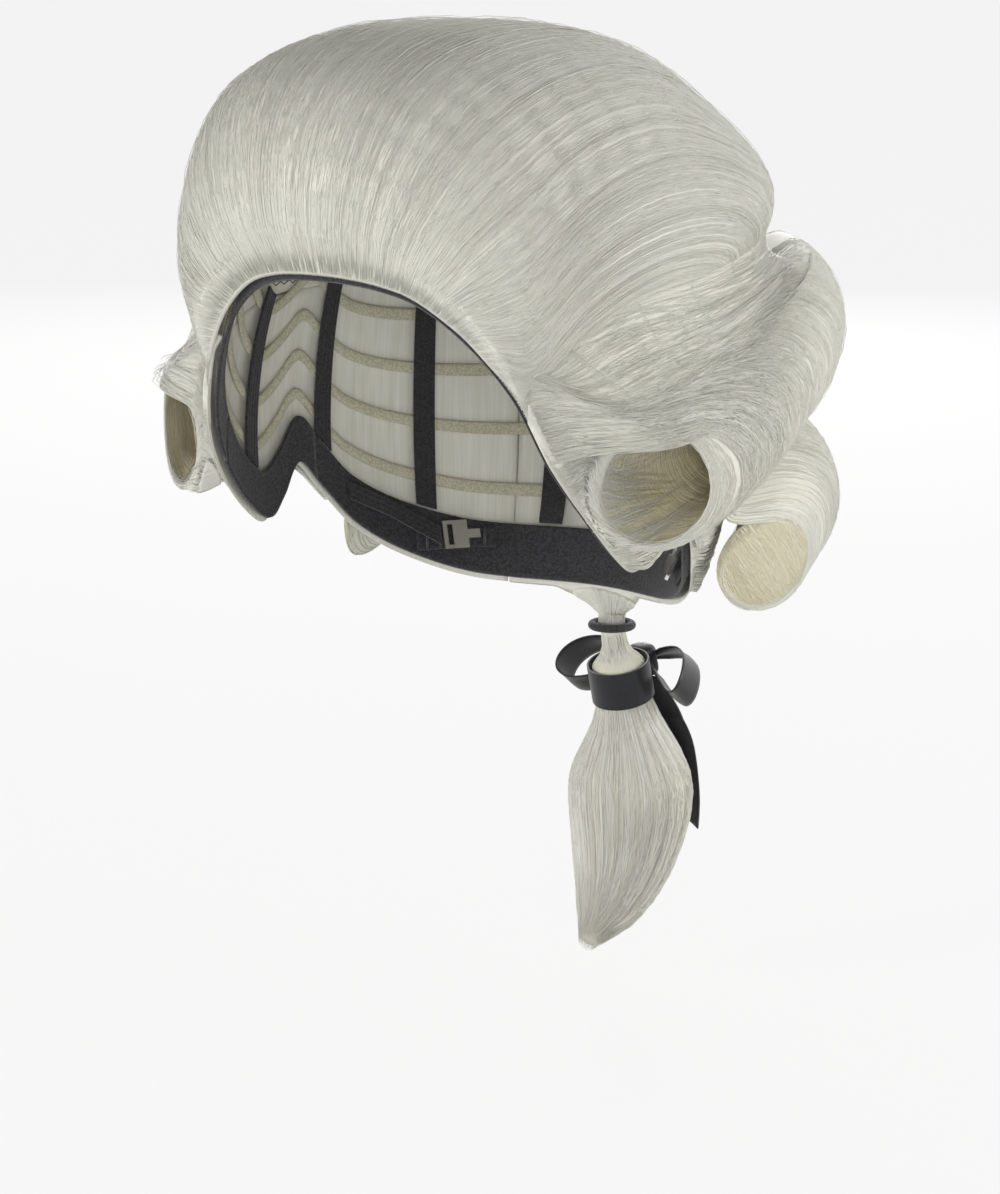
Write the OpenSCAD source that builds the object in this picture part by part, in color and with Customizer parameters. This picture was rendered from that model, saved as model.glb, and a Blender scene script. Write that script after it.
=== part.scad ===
// Costume wig: swept-up crown hair, two rolled curls on each side and a tied
// queue at the nape, all sewn to a stretch cap. Millimetres, +Z up, the face
// looks along -Y and the wearer's left is +X. The origin is the centre of the
// head space at ear-top level.

/* [Head] */
// Width of the head that the cap fits
head_w = 152; // [146:1:158]
// Length of that head, brow to back
head_l = 196; // [190:1:202]
// Height of the skull above ear-top level
head_top = 113; // [108:1:118]
// Depth of the skull's lower half
head_low = 95; // [92:1:100]

/* [Cap] */
// Thickness of the net, bands and elastics
cap_t = 1.2; // [0.8:0.1:1.6]
// Thickness of a sewn hair weft
weft_t = 1.4; // [1:0.1:1.8]
// Height of a weft's sewn header
weft_h = 4; // [3:0.5:5]
// Rows of weft below the crown net
weft_count = 4; // [3:1:5]
// Upright elastics in the open part of the cap
elastic_count = 12; // [8:1:16]
// Width of each upright elastic
elastic_w = 8; // [5:1:10]
// Width of the band along the rim
band_w = 18; // [14:1:20]
// Space left between sewn layers
layer_gap = 0.5; // [0.4:0.1:0.8]

/* [Crown hair] */
// Depth of hair over the top of the cap
crown_top_h = 27; // [23:1:32]
// Depth of hair swept up from the forehead
crown_front_h = 36; // [30:1:40]
// Depth of hair puffed out at the sides
crown_side_h = 40; // [35:1:43]
// Depth of hair at the back of the crown
crown_back_h = 33; // [28:1:37]
// Hairline height at the middle of the forehead
hairline_z = 66; // [63:1:70]
// Thickness of the hair laid flat under the curls
under_h = 2.6; // [2:0.1:3.4]
// Depth of the back hair along its middle
back_h = 15; // [11:1:18]

/* [Upper curls] */
// Half the height of the rolled tube at its open front
upper_b_front = 22; // [19:1:24]
// Half the height of the rolled tube at its back
upper_b_back = 23; // [20:1:24]
// Half the width of the tube at its open front
upper_a_front = 16; // [14:1:18]
// Half the width of the tube at its back
upper_a_back = 20; // [18:1:22]
// Height of the tube's centre at its open front
upper_z_front = 1; // [-2:1:3]
// Height of the tube's centre at its back
upper_z_back = 46; // [43:1:47]
// Thickness of the rolled sheet of hair
curl_wall = 5; // [4:0.5:6]

/* [Lower curls] */
// Half the height of the rolled tube at its open front
lower_b_front = 17; // [15:1:19]
// Half the height of the rolled tube at its back
lower_b_back = 22; // [19:1:24]
// Half the width of the tube at its open front
lower_a_front = 15; // [13:1:16]
// Half the width of the tube at its back
lower_a_back = 21; // [18:1:22]
// Height of the tube's centre at its open front
lower_z_front = -37; // [-40:1:-34]
// Height of the tube's centre at its back
lower_z_back = -14; // [-17:1:-11]

/* [Queue] */
// Distance of the tie behind the origin
tie_y = 90; // [88:1:93]
// Depth of the tie below the origin
tie_drop = 75; // [74:1:78]
// Radius of the hair gathered in the tie
gather_r = 5; // [4:0.5:6]
// Radius of the hair tie's elastic cord
tie_cord_r = 1.5; // [1.2:0.1:1.8]
// Half width of the queue at its fullest
queue_half_w = 23; // [19:1:26]
// Half depth of the queue at its fullest
queue_half_d = 19; // [16:1:21]
// Length of the queue along its middle, tie to tip
queue_len = 126; // [112:1:140]

/* [Ribbon] */
// Width of the satin ribbon
ribbon_w = 14; // [12:1:18]
// Thickness of the ribbon
ribbon_t = 0.8; // [0.6:0.1:1]
// Radius inside the ribbon's turn round the queue
wrap_r = 10.5; // [10:0.5:12]
// Length of a bow loop from the knot
loop_len = 26; // [23:1:30]
// Greatest opening of a bow loop
loop_open = 16; // [13:1:18]
// Length of a ribbon tail below the knot
tail_len = 46; // [38:1:54]

/* [Adjusters] */
// Width of the elastic adjusting strap
strap_w = 7; // [5:0.5:8]
// Thickness of that strap
strap_t = 0.9; // [0.7:0.1:1.2]
// Loops on each loop tape
loop_count = 5; // [3:1:6]
// Distance from one loop to the next
loop_pitch = 6; // [5:0.5:6.5]
// Thickness of the hook plate
hook_t = 1.2; // [1:0.1:1.6]

/* [Hidden] */

hair_colour = "ivory";
cap_colour = "dimgray";
ribbon_colour = "black";
metal_colour = "silver";

// Angles run round the head in degrees: 0 is the forehead, 90 the wearer's
// left ear and 180 the nape. Edge heights are where an edge lies on the head.
angle_step = 6;
head_x = head_w / 2;
head_y = head_l / 2;

// Layers above the head: cap, sewn weft, flat hair, then the rolled curls
weft_in = cap_t + layer_gap;
hair_in = weft_in + weft_t + layer_gap;
curl_in = hair_in + under_h + layer_gap;

// The cap's rim: forehead, temple, ear tab, ear notch, behind the ear, nape
rim_table = [
    [0, hairline_z], [20, hairline_z - 4], [33, hairline_z - 15.5], [45, 31],
    [53, 9], [62, -8], [72, -22], [80, -28], [88, -22], [96, -12],
    [104, -22], [114, -36], [130, -48], [150, -56], [180, -58]
];
// The crown hair's lower edge: the hairline, then a puffed edge at the sides
crown_table = [
    [0, hairline_z], [20, hairline_z - 4], [33, hairline_z - 15.5], [42, 37],
    [48, 29], [60, 39], [72, 44], [90, 46], [110, 48], [135, 51], [180, 54]
];

function lerp(a, b, u) = a + (b - a) * u;
function clamp(x, low, high) = min(max(x, low), high);
function fold(a) = abs(((a + 180) % 360 + 360) % 360 - 180);

// Smooth curve through the rows of a table, level at both ends
function row_at(tb, x, i = 0) =
    (i >= len(tb) - 2 || x < tb[i + 1][0]) ? i : row_at(tb, x, i + 1);
function slope_at(tb, i) =
    (i == 0 || i == len(tb) - 1) ? 0
    : (tb[i + 1][1] - tb[i - 1][1]) / (tb[i + 1][0] - tb[i - 1][0]);
function smooth_at(tb, x) =
    let (
        i = row_at(tb, x),
        h = tb[i + 1][0] - tb[i][0],
        u = clamp((x - tb[i][0]) / h, 0, 1),
        a = slope_at(tb, i) * h,
        b = slope_at(tb, i + 1) * h
    )
    tb[i][1] * (2 * u * u * u - 3 * u * u + 1) + a * (u * u * u - 2 * u * u + u)
    + tb[i + 1][1] * (3 * u * u - 2 * u * u * u) + b * (u * u * u - u * u);

// The head: its level radius at an angle, and its radius along a polar angle
function ring_r(a) = 1 / sqrt(pow(sin(a) / head_x, 2) + pow(cos(a) / head_y, 2));
function half_h(z) = z >= 0 ? head_top : head_low;
function level_r(a, z) = ring_r(a) * sqrt(max(0, 1 - pow(z / half_h(z), 2)));
function polar_of(a, z) = atan2(level_r(a, z), z);
function skull_r(a, p) =
    1 / sqrt(pow(sin(p) / ring_r(a), 2) + pow(cos(p) / half_h(90 - p), 2));
function place(a, p, r) = [r * sin(p) * sin(a), -r * sin(p) * cos(a), r * cos(p)];
function on_head(a, p, lift) = place(a, p, skull_r(a, p) + lift);
// Degrees of polar or level angle for a length along the head
function degrees_of(mm) = mm / ((head_x + head_y) / 2) * 180 / PI;

function rim_p(a) = polar_of(a, smooth_at(rim_table, fold(a)));
function crown_p(a) = polar_of(a, smooth_at(crown_table, fold(a)));
function band_p(a) = rim_p(a) - degrees_of(band_w);
net_share = 0.55;
function net_p(a) = net_share * band_p(a);

// Triangles of a four-cornered patch
function quad(a, b, c, d) = [[a, b, c], [a, c, d]];

// Closed skin between two surfaces low(u, t) and high(u, t). With tip set, t
// starts at a point that all rows share; with ring set, the rows close up.
module skin(us, ts, low, high, ring = false, tip = false) {
    n = len(us);
    m = len(ts);
    o = n * m;
    last = ring ? n - 1 : n - 2;
    points = concat(
        [for (u = us) for (t = ts) high(u, t)],
        [for (u = us) for (t = ts) low(u, t)],
        tip ? [high(us[0], 0), low(us[0], 0)] : []
    );
    sides = [
        for (i = [0:last]) for (j = [0:m - 2])
            let (k = (i + 1) % n, a = i * m + j, b = k * m + j)
            each concat(quad(a, b, b + 1, a + 1), quad(o + a + 1, o + b + 1, o + b, o + a))
    ];
    rims = [
        for (i = [0:last])
            let (k = (i + 1) % n, a = i * m, b = k * m, c = a + m - 1, d = b + m - 1)
            each concat(
                quad(c, d, o + d, o + c),
                tip ? [[2 * o, b, a], [2 * o + 1, o + a, o + b]] : quad(b, a, o + a, o + b)
            )
    ];
    ends = ring ? [] : [
        for (j = [0:m - 2])
            let (b = (n - 1) * m + j)
            each concat(quad(j, j + 1, o + j + 1, o + j), quad(b + 1, b, o + b, o + b + 1))
    ];
    polyhedron(points, concat(sides, rims, ends), convexity = 8);
}

// Closed solid through a row of rings, each with the same count of points
module loft(rings) {
    n = len(rings);
    m = len(rings[0]);
    sides = [
        for (i = [0:n - 2]) for (k = [0:m - 1])
            let (l = (k + 1) % m)
            each quad(i * m + k, i * m + l, (i + 1) * m + l, (i + 1) * m + k)
    ];
    first = [for (k = [1:m - 2]) [0, k + 1, k]];
    final = [for (k = [1:m - 2]) [(n - 1) * m, (n - 1) * m + k, (n - 1) * m + k + 1]];
    polyhedron([for (r = rings) each r], concat(sides, first, final), convexity = 8);
}

function spread(a, b, n) = [for (i = [0:n]) lerp(a, b, i / n)];
function steps(a, b) = spread(a, b, max(1, round((b - a) / angle_step)));

// Strip of the cap between two angles and two edges given as polar angles
module cap_strip(a0, a1, top, bottom, low_lift, high_lift, rows) {
    skin(
        steps(a0, a1), spread(0, 1, rows),
        function(a, t) on_head(a, lerp(top(a), bottom(a), t), low_lift),
        function(a, t) on_head(a, lerp(top(a), bottom(a), t), high_lift)
    );
}

module crown_net() {
    color(cap_colour)
    skin(
        [for (i = [0:60 - 1]) i * angle_step], spread(1 / 5, 1, 4),
        function(a, t) on_head(a, t * net_p(a), 0),
        function(a, t) on_head(a, t * net_p(a), cap_t),
        ring = true, tip = true
    );
}

// Where the rim's bands and tabs meet
tab_front = 60;
tab_back = 102;

module front_band() {
    color(cap_colour)
    cap_strip(-tab_front, tab_front, function(a) band_p(a), function(a) rim_p(a), 0, cap_t, 2);
}

module nape_band() {
    color(cap_colour)
    cap_strip(tab_back, 360 - tab_back, function(a) band_p(a), function(a) rim_p(a), 0, cap_t, 2);
}

module left_ear_tab() {
    color(cap_colour)
    cap_strip(tab_front, tab_back, function(a) band_p(a), function(a) rim_p(a), 0, cap_t, 2);
}

module right_ear_tab() {
    mirror([1, 0, 0]) left_ear_tab();
}

// Upright elastics bridge the open part between the net and the rim's bands
module cap_elastics() {
    half = degrees_of(elastic_w / 2);
    slack = degrees_of(2 * layer_gap);
    color(cap_colour)
    for (i = [0:elastic_count - 1]) {
        mid = (i + 0.5) * 360 / elastic_count;
        skin(
            [mid - half, mid, mid + half], spread(0, 1, 4),
            function(a, t) on_head(a, lerp(net_p(a) + slack / 2, band_p(a) - slack, t), 0),
            function(a, t) on_head(a, lerp(net_p(a) + slack / 2, band_p(a) - slack, t), cap_t)
        );
    }
}

module weft_rows() {
    tall = degrees_of(weft_h);
    color(hair_colour)
    for (i = [0:weft_count - 1]) {
        share = (i + 0.3) / weft_count;
        skin(
            [for (k = [0:60 - 1]) k * angle_step], [0, 1],
            function(a, t) on_head(a, lerp(net_p(a), band_p(a), share) + t * tall, weft_in),
            function(a, t) on_head(a, lerp(net_p(a), band_p(a), share) + t * tall, weft_in + weft_t),
            ring = true
        );
    }
}

// Depth of the crown hair, thinned to a rounded edge along its lower rim
edge_h = 1.6;
shoulder_p = 32;
low_p = 58;
shoulder_table = [
    [0, crown_front_h], [55, crown_front_h + 5], [90, crown_side_h],
    [125, crown_side_h - 3], [180, crown_back_h]
];
low_table = [
    [0, crown_front_h - 6], [55, crown_front_h - 8], [90, crown_side_h - 2],
    [125, crown_side_h + 9], [180, crown_back_h + 6]
];
function ease(x) = let (u = clamp(x, 0, 1)) u * u * (3 - 2 * u);
function puff_h(a, p) =
    let (shoulder = smooth_at(shoulder_table, fold(a)), low = smooth_at(low_table, fold(a)))
    p < shoulder_p ? lerp(crown_top_h, shoulder, ease(p / shoulder_p))
    : lerp(shoulder, low, ease((p - shoulder_p) / (low_p - shoulder_p)));
function crown_h(a, t) =
    let (
        side = clamp((fold(a) - 38) / 24, 0, 1),
        power = lerp(5, 9, side),
        round_off = lerp(1.25, 2.5, side)
    )
    max(edge_h, puff_h(a, t * crown_p(a)) * pow(max(0, 1 - pow(t, power)), 1 / round_off));

module crown_hair() {
    color(hair_colour)
    skin(
        [for (i = [0:60 - 1]) i * angle_step],
        [0.12, 0.24, 0.36, 0.47, 0.57, 0.67, 0.76, 0.84, 0.9, 0.94, 0.97, 0.99, 1],
        function(a, t) on_head(a, t * crown_p(a), hair_in),
        function(a, t) on_head(a, t * crown_p(a), hair_in + crown_h(a, t)),
        ring = true, tip = true
    );
}

// Flat hair from the crown's edge to the rim, under the curls
side_front = 48;
side_back = 156;
module left_side_hair() {
    slack = degrees_of(layer_gap);
    color(hair_colour)
    cap_strip(
        side_front, side_back,
        function(a) crown_p(a) + slack, function(a) rim_p(a) + slack,
        hair_in, hair_in + under_h, 7
    );
}

module right_side_hair() {
    mirror([1, 0, 0]) left_side_hair();
}

// Back hair: combed down between the curls and drawn in towards the nape
back_half = 180 - side_back - degrees_of(layer_gap);
function back_a(u) = 180 + u * back_half;
function back_p(u, t) =
    let (a = back_a(u))
    lerp(crown_p(a) + degrees_of(layer_gap), rim_p(a), t);
function back_depth(u, t) =
    under_h + (back_h - under_h) * pow(cos(90 * clamp(u * lerp(1, 2, t), -1, 1)), 0.8) * lerp(0.8, 1, t);

module back_hair() {
    color(hair_colour)
    skin(
        spread(-1, 1, 10), spread(0, 1, 9),
        function(u, t) on_head(back_a(u), back_p(u, t), hair_in),
        function(u, t) on_head(back_a(u), back_p(u, t), hair_in + back_depth(u, t))
    );
}

// Where the queue is gathered; it swings about this point
tie = [0, tie_y, -tie_drop];
tie_neck_r = gather_r - 0.6;
nape_half = 8;

// Hair drawn together from the back hair's end to the gather
module nape_hair() {
    turns = [for (k = [0:24 - 1]) k * 15];
    slack = degrees_of(layer_gap);
    top = [
        for (k = turns)
            let (a = 180 - nape_half * cos(k))
            on_head(a, rim_p(a) + slack, hair_in + back_h / 2 * (1 + 0.9 * sin(k)))
    ];
    neck = [
        for (k = turns)
            tie + [tie_neck_r * cos(k), tie_neck_r * sin(k), gather_r - 1]
    ];
    color(hair_colour) {
        loft([for (u = spread(0, 1, 4)) lerp(top, neck, u)]);
        translate(tie) sphere(r = gather_r, $fn = 32);
    }
}

// A curl at a share s along its length: angle, height, half width, half
// height, height of its sewn root, the share itself and the root's set inwards
lower_set = 0.7;
upper_angles = [60, 152];
lower_angles = [114, 159];
function curl_row(upper, s) =
    let (
        ends = upper ? upper_angles : lower_angles,
        a = lerp(ends[0], ends[1], s),
        rise = pow(sin(90 * s), 1.2),
        z = upper ? lerp(upper_z_front, upper_z_back, rise) : lerp(lower_z_front, lower_z_back, rise),
        half_w = upper ? lerp(upper_a_front, upper_a_back, rise) : lerp(lower_a_front, lower_a_back, rise),
        half_t = upper ? lerp(upper_b_front, upper_b_back, rise) : lerp(lower_b_front, lower_b_back, rise),
        root_z = upper ? smooth_at(crown_table, a) - 4 : z + half_t + 2
    )
    [a, z, half_w, half_t, root_z, s, upper ? 0 : lower_set];

// Level radius of the curl's centre: its inner side clears the flat hair
function curl_r(row) =
    let (near = row[1] > 0 ? max(0, row[1] - 0.8 * row[3]) : min(0, row[1] + 0.8 * row[3]))
    level_r(row[0], near) + curl_in + row[2];

sheet_n = 5;
turn_n = 20;
turn_angle = 345;
turn_start = 60;
// Middle line of the rolled sheet, from its root over the top and round
function turn_mid(row, q) =
    let (
        a = turn_start - turn_angle * q,
        f = 1 - 0.34 * pow(max(0, q * 2 - 1), 1.3)
    )
    [(row[2] - curl_wall / 2) * f * cos(a), (row[3] - curl_wall / 2) * f * sin(a)];
function curl_mid(row, t) =
    t >= sheet_n ? turn_mid(row, (t - sheet_n) / turn_n)
    : let (
        u = t / sheet_n,
        p3 = turn_mid(row, 0),
        ahead = turn_mid(row, 0.02) - p3,
        p2 = p3 - ahead / norm(ahead) * 0.5 * row[2],
        root_r = level_r(row[0], row[4]) + curl_in + curl_wall / 2 - row[6],
        p0 = [root_r - curl_r(row), row[4] - row[1]],
        p1 = p0 + [lerp(0.25, 0.5, row[5]) * row[2], lerp(-7, 7, row[5])],
        v = 1 - u
    )
    v * v * v * p0 + 3 * v * v * u * p1 + 3 * v * u * u * p2 + u * u * u * p3;
function curl_thick(t) = curl_wall * (1 - 0.35 * max(0, t - sheet_n) / turn_n);

// The open front is cut back on its outer side
front_cut = 1.15;
function curl_point(upper, s, t, side) =
    let (
        row = curl_row(upper, s),
        total = sheet_n + turn_n,
        along = curl_mid(row, min(t + 0.1, total)) - curl_mid(row, max(t - 0.1, 0)),
        out = [-along[1], along[0]] / norm(along),
        p = curl_mid(row, t) + out * side * curl_thick(t) / 2,
        cut = front_cut * max(0, p[0] + row[2]) * max(0, 1 - s / 0.5),
        a = row[0] + cut / curl_r(row) * 180 / PI,
        r = curl_r([a, row[1], row[2], row[3]])
    )
    [(r + p[0]) * sin(a), -(r + p[0]) * cos(a), row[1] + p[1]];

module left_curl(upper, stations) {
    color(hair_colour)
    skin(
        spread(0, 1, stations), [for (t = [0:sheet_n + turn_n]) t],
        function(s, t) curl_point(upper, s, t, -1),
        function(s, t) curl_point(upper, s, t, 1)
    );
}

module left_upper_curl() {
    left_curl(true, 11);
}

module right_upper_curl() {
    mirror([1, 0, 0]) left_upper_curl();
}

module left_lower_curl() {
    left_curl(false, 7);
}

module right_lower_curl() {
    mirror([1, 0, 0]) left_lower_curl();
}

module hair_tie() {
    color(cap_colour)
    translate(tie)
    rotate_extrude($fn = 48) translate([gather_r + layer_gap + tie_cord_r, 0]) circle(r = tie_cord_r, $fn = 16);
}

// The queue's middle line leans back through the ribbon, then curls forward
queue_lean = 16;
wrap_start = gather_r + 9.5;
wrap_end = wrap_start + ribbon_w;
queue_turn = [
    [0, queue_lean], [wrap_end, queue_lean], [lerp(wrap_end, queue_len, 0.3), 2],
    [lerp(wrap_end, queue_len, 0.65), -24], [queue_len, -58]
];
function queue_way(s) =
    let (a = s < wrap_end ? queue_lean : smooth_at(queue_turn, s))
    [0, sin(a), -cos(a)];
function queue_side(s) = [0, -queue_way(s)[2], queue_way(s)[1]];
queue_n = 60;
queue_ds = queue_len / queue_n;
queue_points = [
    for (i = 0, p = tie; i <= queue_n; p = p + queue_ds * queue_way((i + 0.5) * queue_ds), i = i + 1) p
];
function queue_at(s) =
    let (x = clamp(s / queue_ds, 0, queue_n), i = min(queue_n - 1, floor(x)))
    lerp(queue_points[i], queue_points[i + 1], x - i);
// Half width and half depth of the queue along its length
wrap_fill = wrap_r - layer_gap;
queue_w_table = [
    [wrap_end, wrap_fill], [lerp(wrap_end, queue_len, 0.32), queue_half_w],
    [lerp(wrap_end, queue_len, 0.6), queue_half_w * 0.86], [lerp(wrap_end, queue_len, 0.84), queue_half_w * 0.5],
    [queue_len, 3]
];
queue_d_table = [
    [wrap_end, wrap_fill], [lerp(wrap_end, queue_len, 0.32), queue_half_d],
    [lerp(wrap_end, queue_len, 0.6), queue_half_d * 0.86], [lerp(wrap_end, queue_len, 0.84), queue_half_d * 0.52],
    [queue_len, 3]
];
function queue_half(s, table) =
    s >= wrap_end ? smooth_at(table, s)
    : s >= wrap_start ? wrap_fill
    : lerp(gather_r * 0.5, wrap_fill, pow((s - gather_r - layer_gap) / (wrap_start - gather_r - layer_gap), 2));
function queue_ring(s, grow, n) = [
    for (k = [0:n - 1])
        let (a = k * 360 / n)
        queue_at(s) + [(queue_half(s, queue_w_table) + grow) * cos(a), 0, 0]
        + queue_side(s) * (queue_half(s, queue_d_table) + grow) * sin(a)
];

module queue_hair() {
    top = gather_r + layer_gap;
    color(hair_colour)
    loft([
        for (s = concat(spread(top, wrap_start, 4), spread(wrap_end, queue_len, 13)))
            queue_ring(s, 0, 24)
    ]);
}

module ribbon_wrap() {
    color(ribbon_colour)
    translate(queue_at(wrap_start)) rotate([queue_lean, 0, 0])
    translate([0, 0, -ribbon_w])
    difference() {
        cylinder(r = wrap_r + ribbon_t, h = ribbon_w, $fn = 64);
        translate([0, 0, -1]) cylinder(r = wrap_r, h = ribbon_w + 2, $fn = 64);
    }
}

// The bow sits on the back of the ribbon's turn
knot_w = 11;
knot_d = 8;
knot_h = 12;
bow_at = (wrap_start + wrap_end) / 2;
knot = queue_at(bow_at) + queue_side(bow_at) * (wrap_r + ribbon_t + layer_gap / 2 + knot_d / 2);

module bow_knot() {
    color(ribbon_colour)
    translate(knot) rotate([queue_lean, 0, 0])
    loft([
        for (i = [0:6])
            let (
                u = i / 3 - 1,
                f = sqrt(1 - pow(0.92 * u, 4)),
                pleat = 0.35
            )
            [for (k = [0:24 - 1]) [
                (knot_w / 2 * f + pleat * cos(k * 75) * (1 - abs(u))) * cos(k * 15),
                (knot_d / 2 * f) * sin(k * 15),
                -u * knot_h / 2
            ]]
    ]);
}

// A bow loop: the ribbon leaves the knot, turns at its tip and comes back.
// It droops, so its opening looks forward.
loop_q = 0.085;
loop_bend = 0.5;
loop_sag = 0.15;
loop_set = 1.8;
function loop_line(q) = [loop_len * sin(180 * q), loop_open / 2 * sin(360 * q)];
function loop_breadth(q) = ribbon_w * lerp(0.5, 1, pow(sin(180 * clamp(q, 0.02, 0.98)), 0.8));
function loop_point(q, t, side, droop) =
    let (
        along = loop_line(min(q + 0.004, 1)) - loop_line(max(q - 0.004, 0)),
        out = [-along[1], along[0]] / norm(along),
        wave = 0.9 * sin(360 * t) * (1 - sin(180 * q)),
        p = loop_line(q) + out * (side * ribbon_t / 2 + wave),
        h = (t - 0.5) * loop_breadth(q)
    )
    [
        p[0],
        p[1] * cos(droop) - h * sin(droop) - loop_bend * p[0] * p[0] / loop_len + loop_set,
        p[1] * sin(droop) + h * cos(droop) - loop_sag * p[0]
    ];

module bow_loop(droop) {
    color(ribbon_colour)
    translate(knot)
    skin(
        spread(loop_q, 1 - loop_q, 22), spread(0, 1, 4),
        function(q, t) loop_point(q, t, -1, droop),
        function(q, t) loop_point(q, t, 1, droop)
    );
}

module left_bow_loop() {
    bow_loop(56);
}

module right_bow_loop() {
    mirror([1, 0, 0]) left_bow_loop();
}

// A ribbon tail: falls from under the knot over the back of the queue
tail_from = bow_at + knot_h / 2 + layer_gap;
tail_rest = wrap_r + ribbon_t + knot_d / 2 + layer_gap;
tail_drift = 2;
function tail_point(q, t, side) =
    let (
        s = tail_from + q * tail_len,
        breadth = ribbon_w * lerp(0.34, 1, sin(90 * min(1, q * 1.8))),
        rest = max(tail_rest, queue_half(s, queue_d_table) + 2.2),
        wave = 1.1 * sin(420 * q) * min(1, 3 * q) + 1.3 * sin(180 * t) * min(1, 2 * q),
        cut = q > 0.98 ? (t - 0.5) * 7 : 0
    )
    queue_at(s)
    + queue_side(s) * (rest + wave + side * ribbon_t / 2)
    + queue_way(s) * cut
    + [(breadth + layer_gap) / 2 + tail_drift * q + (t - 0.5) * breadth, 0, 0];

module bow_tail() {
    color(ribbon_colour)
    skin(
        spread(0, 1, 4), spread(0, 1, 16),
        function(t, q) tail_point(q, t, 1),
        function(t, q) tail_point(q, t, -1)
    );
}

module left_bow_tail() {
    bow_tail();
}

module right_bow_tail() {
    mirror([1, 0, 0]) left_bow_tail();
}

// Adjusters lie on the inner face of the nape band
adjust_z = smooth_at(rim_table, 140) + band_w * 0.45;
tape_a = 142;
tape_lift = -layer_gap;
tape_t = 0.8;
loop_bow = 1.3;
loop_cord = 0.7;
tape_h = strap_w;
function adjust_p(a) = polar_of(a, adjust_z);
function tape_p(a, t) = adjust_p(a) + degrees_of((t - 0.5) * tape_h);

module left_loop_tape() {
    half = degrees_of(((loop_count - 1) / 2 + 0.7) * loop_pitch);
    color(cap_colour) {
        skin(
            steps(tape_a - half, tape_a + half), spread(0, 1, 2),
            function(a, t) on_head(a, tape_p(a, t), tape_lift - tape_t),
            function(a, t) on_head(a, tape_p(a, t), tape_lift)
        );
        for (i = [0:loop_count - 1]) {
            mid = tape_a + degrees_of((i - (loop_count - 1) / 2) * loop_pitch);
            wide = degrees_of(loop_cord);
            skin(
                [mid - wide, mid + wide], spread(0, 1, 4),
                function(a, t) on_head(a, tape_p(a, t), tape_lift - tape_t - loop_bow * sin(180 * t) - loop_cord),
                function(a, t) on_head(a, tape_p(a, t), tape_lift - tape_t - loop_bow * sin(180 * t) + 0.05)
            );
        }
    }
}

module right_loop_tape() {
    mirror([1, 0, 0]) left_loop_tape();
}

// The hook lies over the middle loop; its plate follows the head's slope
hook_len = 9;
hook_nose = 5;
hook_lift = tape_lift - tape_t - loop_bow - loop_cord - 2 * layer_gap;
hook_p = adjust_p(tape_a);
hook_seat = on_head(tape_a, hook_p, hook_lift);
function skull_normal(v) =
    let (n = [v[0] / pow(head_x, 2), v[1] / pow(head_y, 2), v[2] / pow(half_h(v[2]), 2)])
    n / norm(n);
hook_out = skull_normal(hook_seat);
hook_along = [-hook_out[1], hook_out[0], 0] / norm([hook_out[0], hook_out[1]]);
hook_up = cross(hook_out, hook_along);
hook_slot = strap_t + 2 * layer_gap;

module left_strap_hook() {
    color(metal_colour)
    multmatrix([
        [hook_along[0], hook_up[0], hook_out[0], hook_seat[0]],
        [hook_along[1], hook_up[1], hook_out[1], hook_seat[1]],
        [hook_along[2], hook_up[2], hook_out[2], hook_seat[2]]
    ])
    translate([0, 0, -hook_t])
    linear_extrude(height = hook_t)
    difference() {
        union() {
            translate([-hook_len / 2, -strap_w / 2 - 1.6]) square([hook_len, strap_w + 3.2]);
            translate([hook_len / 2 - 0.5, -1.6]) square([hook_nose, 3.2]);
        }
        translate([-hook_len / 2 + 1.6, -strap_w / 2 - layer_gap / 2]) square([hook_slot, strap_w + layer_gap]);
    }
}

module right_strap_hook() {
    mirror([1, 0, 0]) left_strap_hook();
}

// The elastic strap runs from behind the ear to the hook
strap_a = 112;
strap_z = smooth_at(rim_table, strap_a) + band_w * 0.5;
strap_end_a = tape_a - degrees_of(hook_len / 2 + 3 * layer_gap);
function strap_point(a, t, side) =
    let (
        u = (a - strap_a) / (strap_end_a - strap_a),
        p = lerp(polar_of(a, strap_z), polar_of(a, adjust_z), u) + degrees_of((t - 0.5) * strap_w),
        lift = lerp(-layer_gap - strap_t / 2, hook_lift - hook_t / 2, clamp(u * 2.5, 0, 1))
    )
    on_head(a, p, lift + side * strap_t / 2);

module left_adjust_strap() {
    color(cap_colour)
    skin(
        spread(strap_a, strap_end_a, 10), spread(0, 1, 2),
        function(a, t) strap_point(a, t, -1),
        function(a, t) strap_point(a, t, 1)
    );
}

module right_adjust_strap() {
    mirror([1, 0, 0]) left_adjust_strap();
}

crown_net();
front_band();
nape_band();
left_ear_tab();
right_ear_tab();
cap_elastics();
weft_rows();
left_loop_tape();
right_loop_tape();
left_adjust_strap();
right_adjust_strap();
left_strap_hook();
right_strap_hook();
crown_hair();
left_side_hair();
right_side_hair();
back_hair();
nape_hair();
left_upper_curl();
right_upper_curl();
left_lower_curl();
right_lower_curl();
hair_tie();
queue_hair();
ribbon_wrap();
bow_knot();
left_bow_loop();
right_bow_loop();
left_bow_tail();
right_bow_tail();
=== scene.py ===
# %% [markdown]
# A white costume wig in an eighteenth-century style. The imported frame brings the
# cap, the hair sections and the ribbon at their real size. Here each soft solid is
# replaced by what it is on the real wig: combed fibre, net, tape and satin.

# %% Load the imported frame
import math

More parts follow.
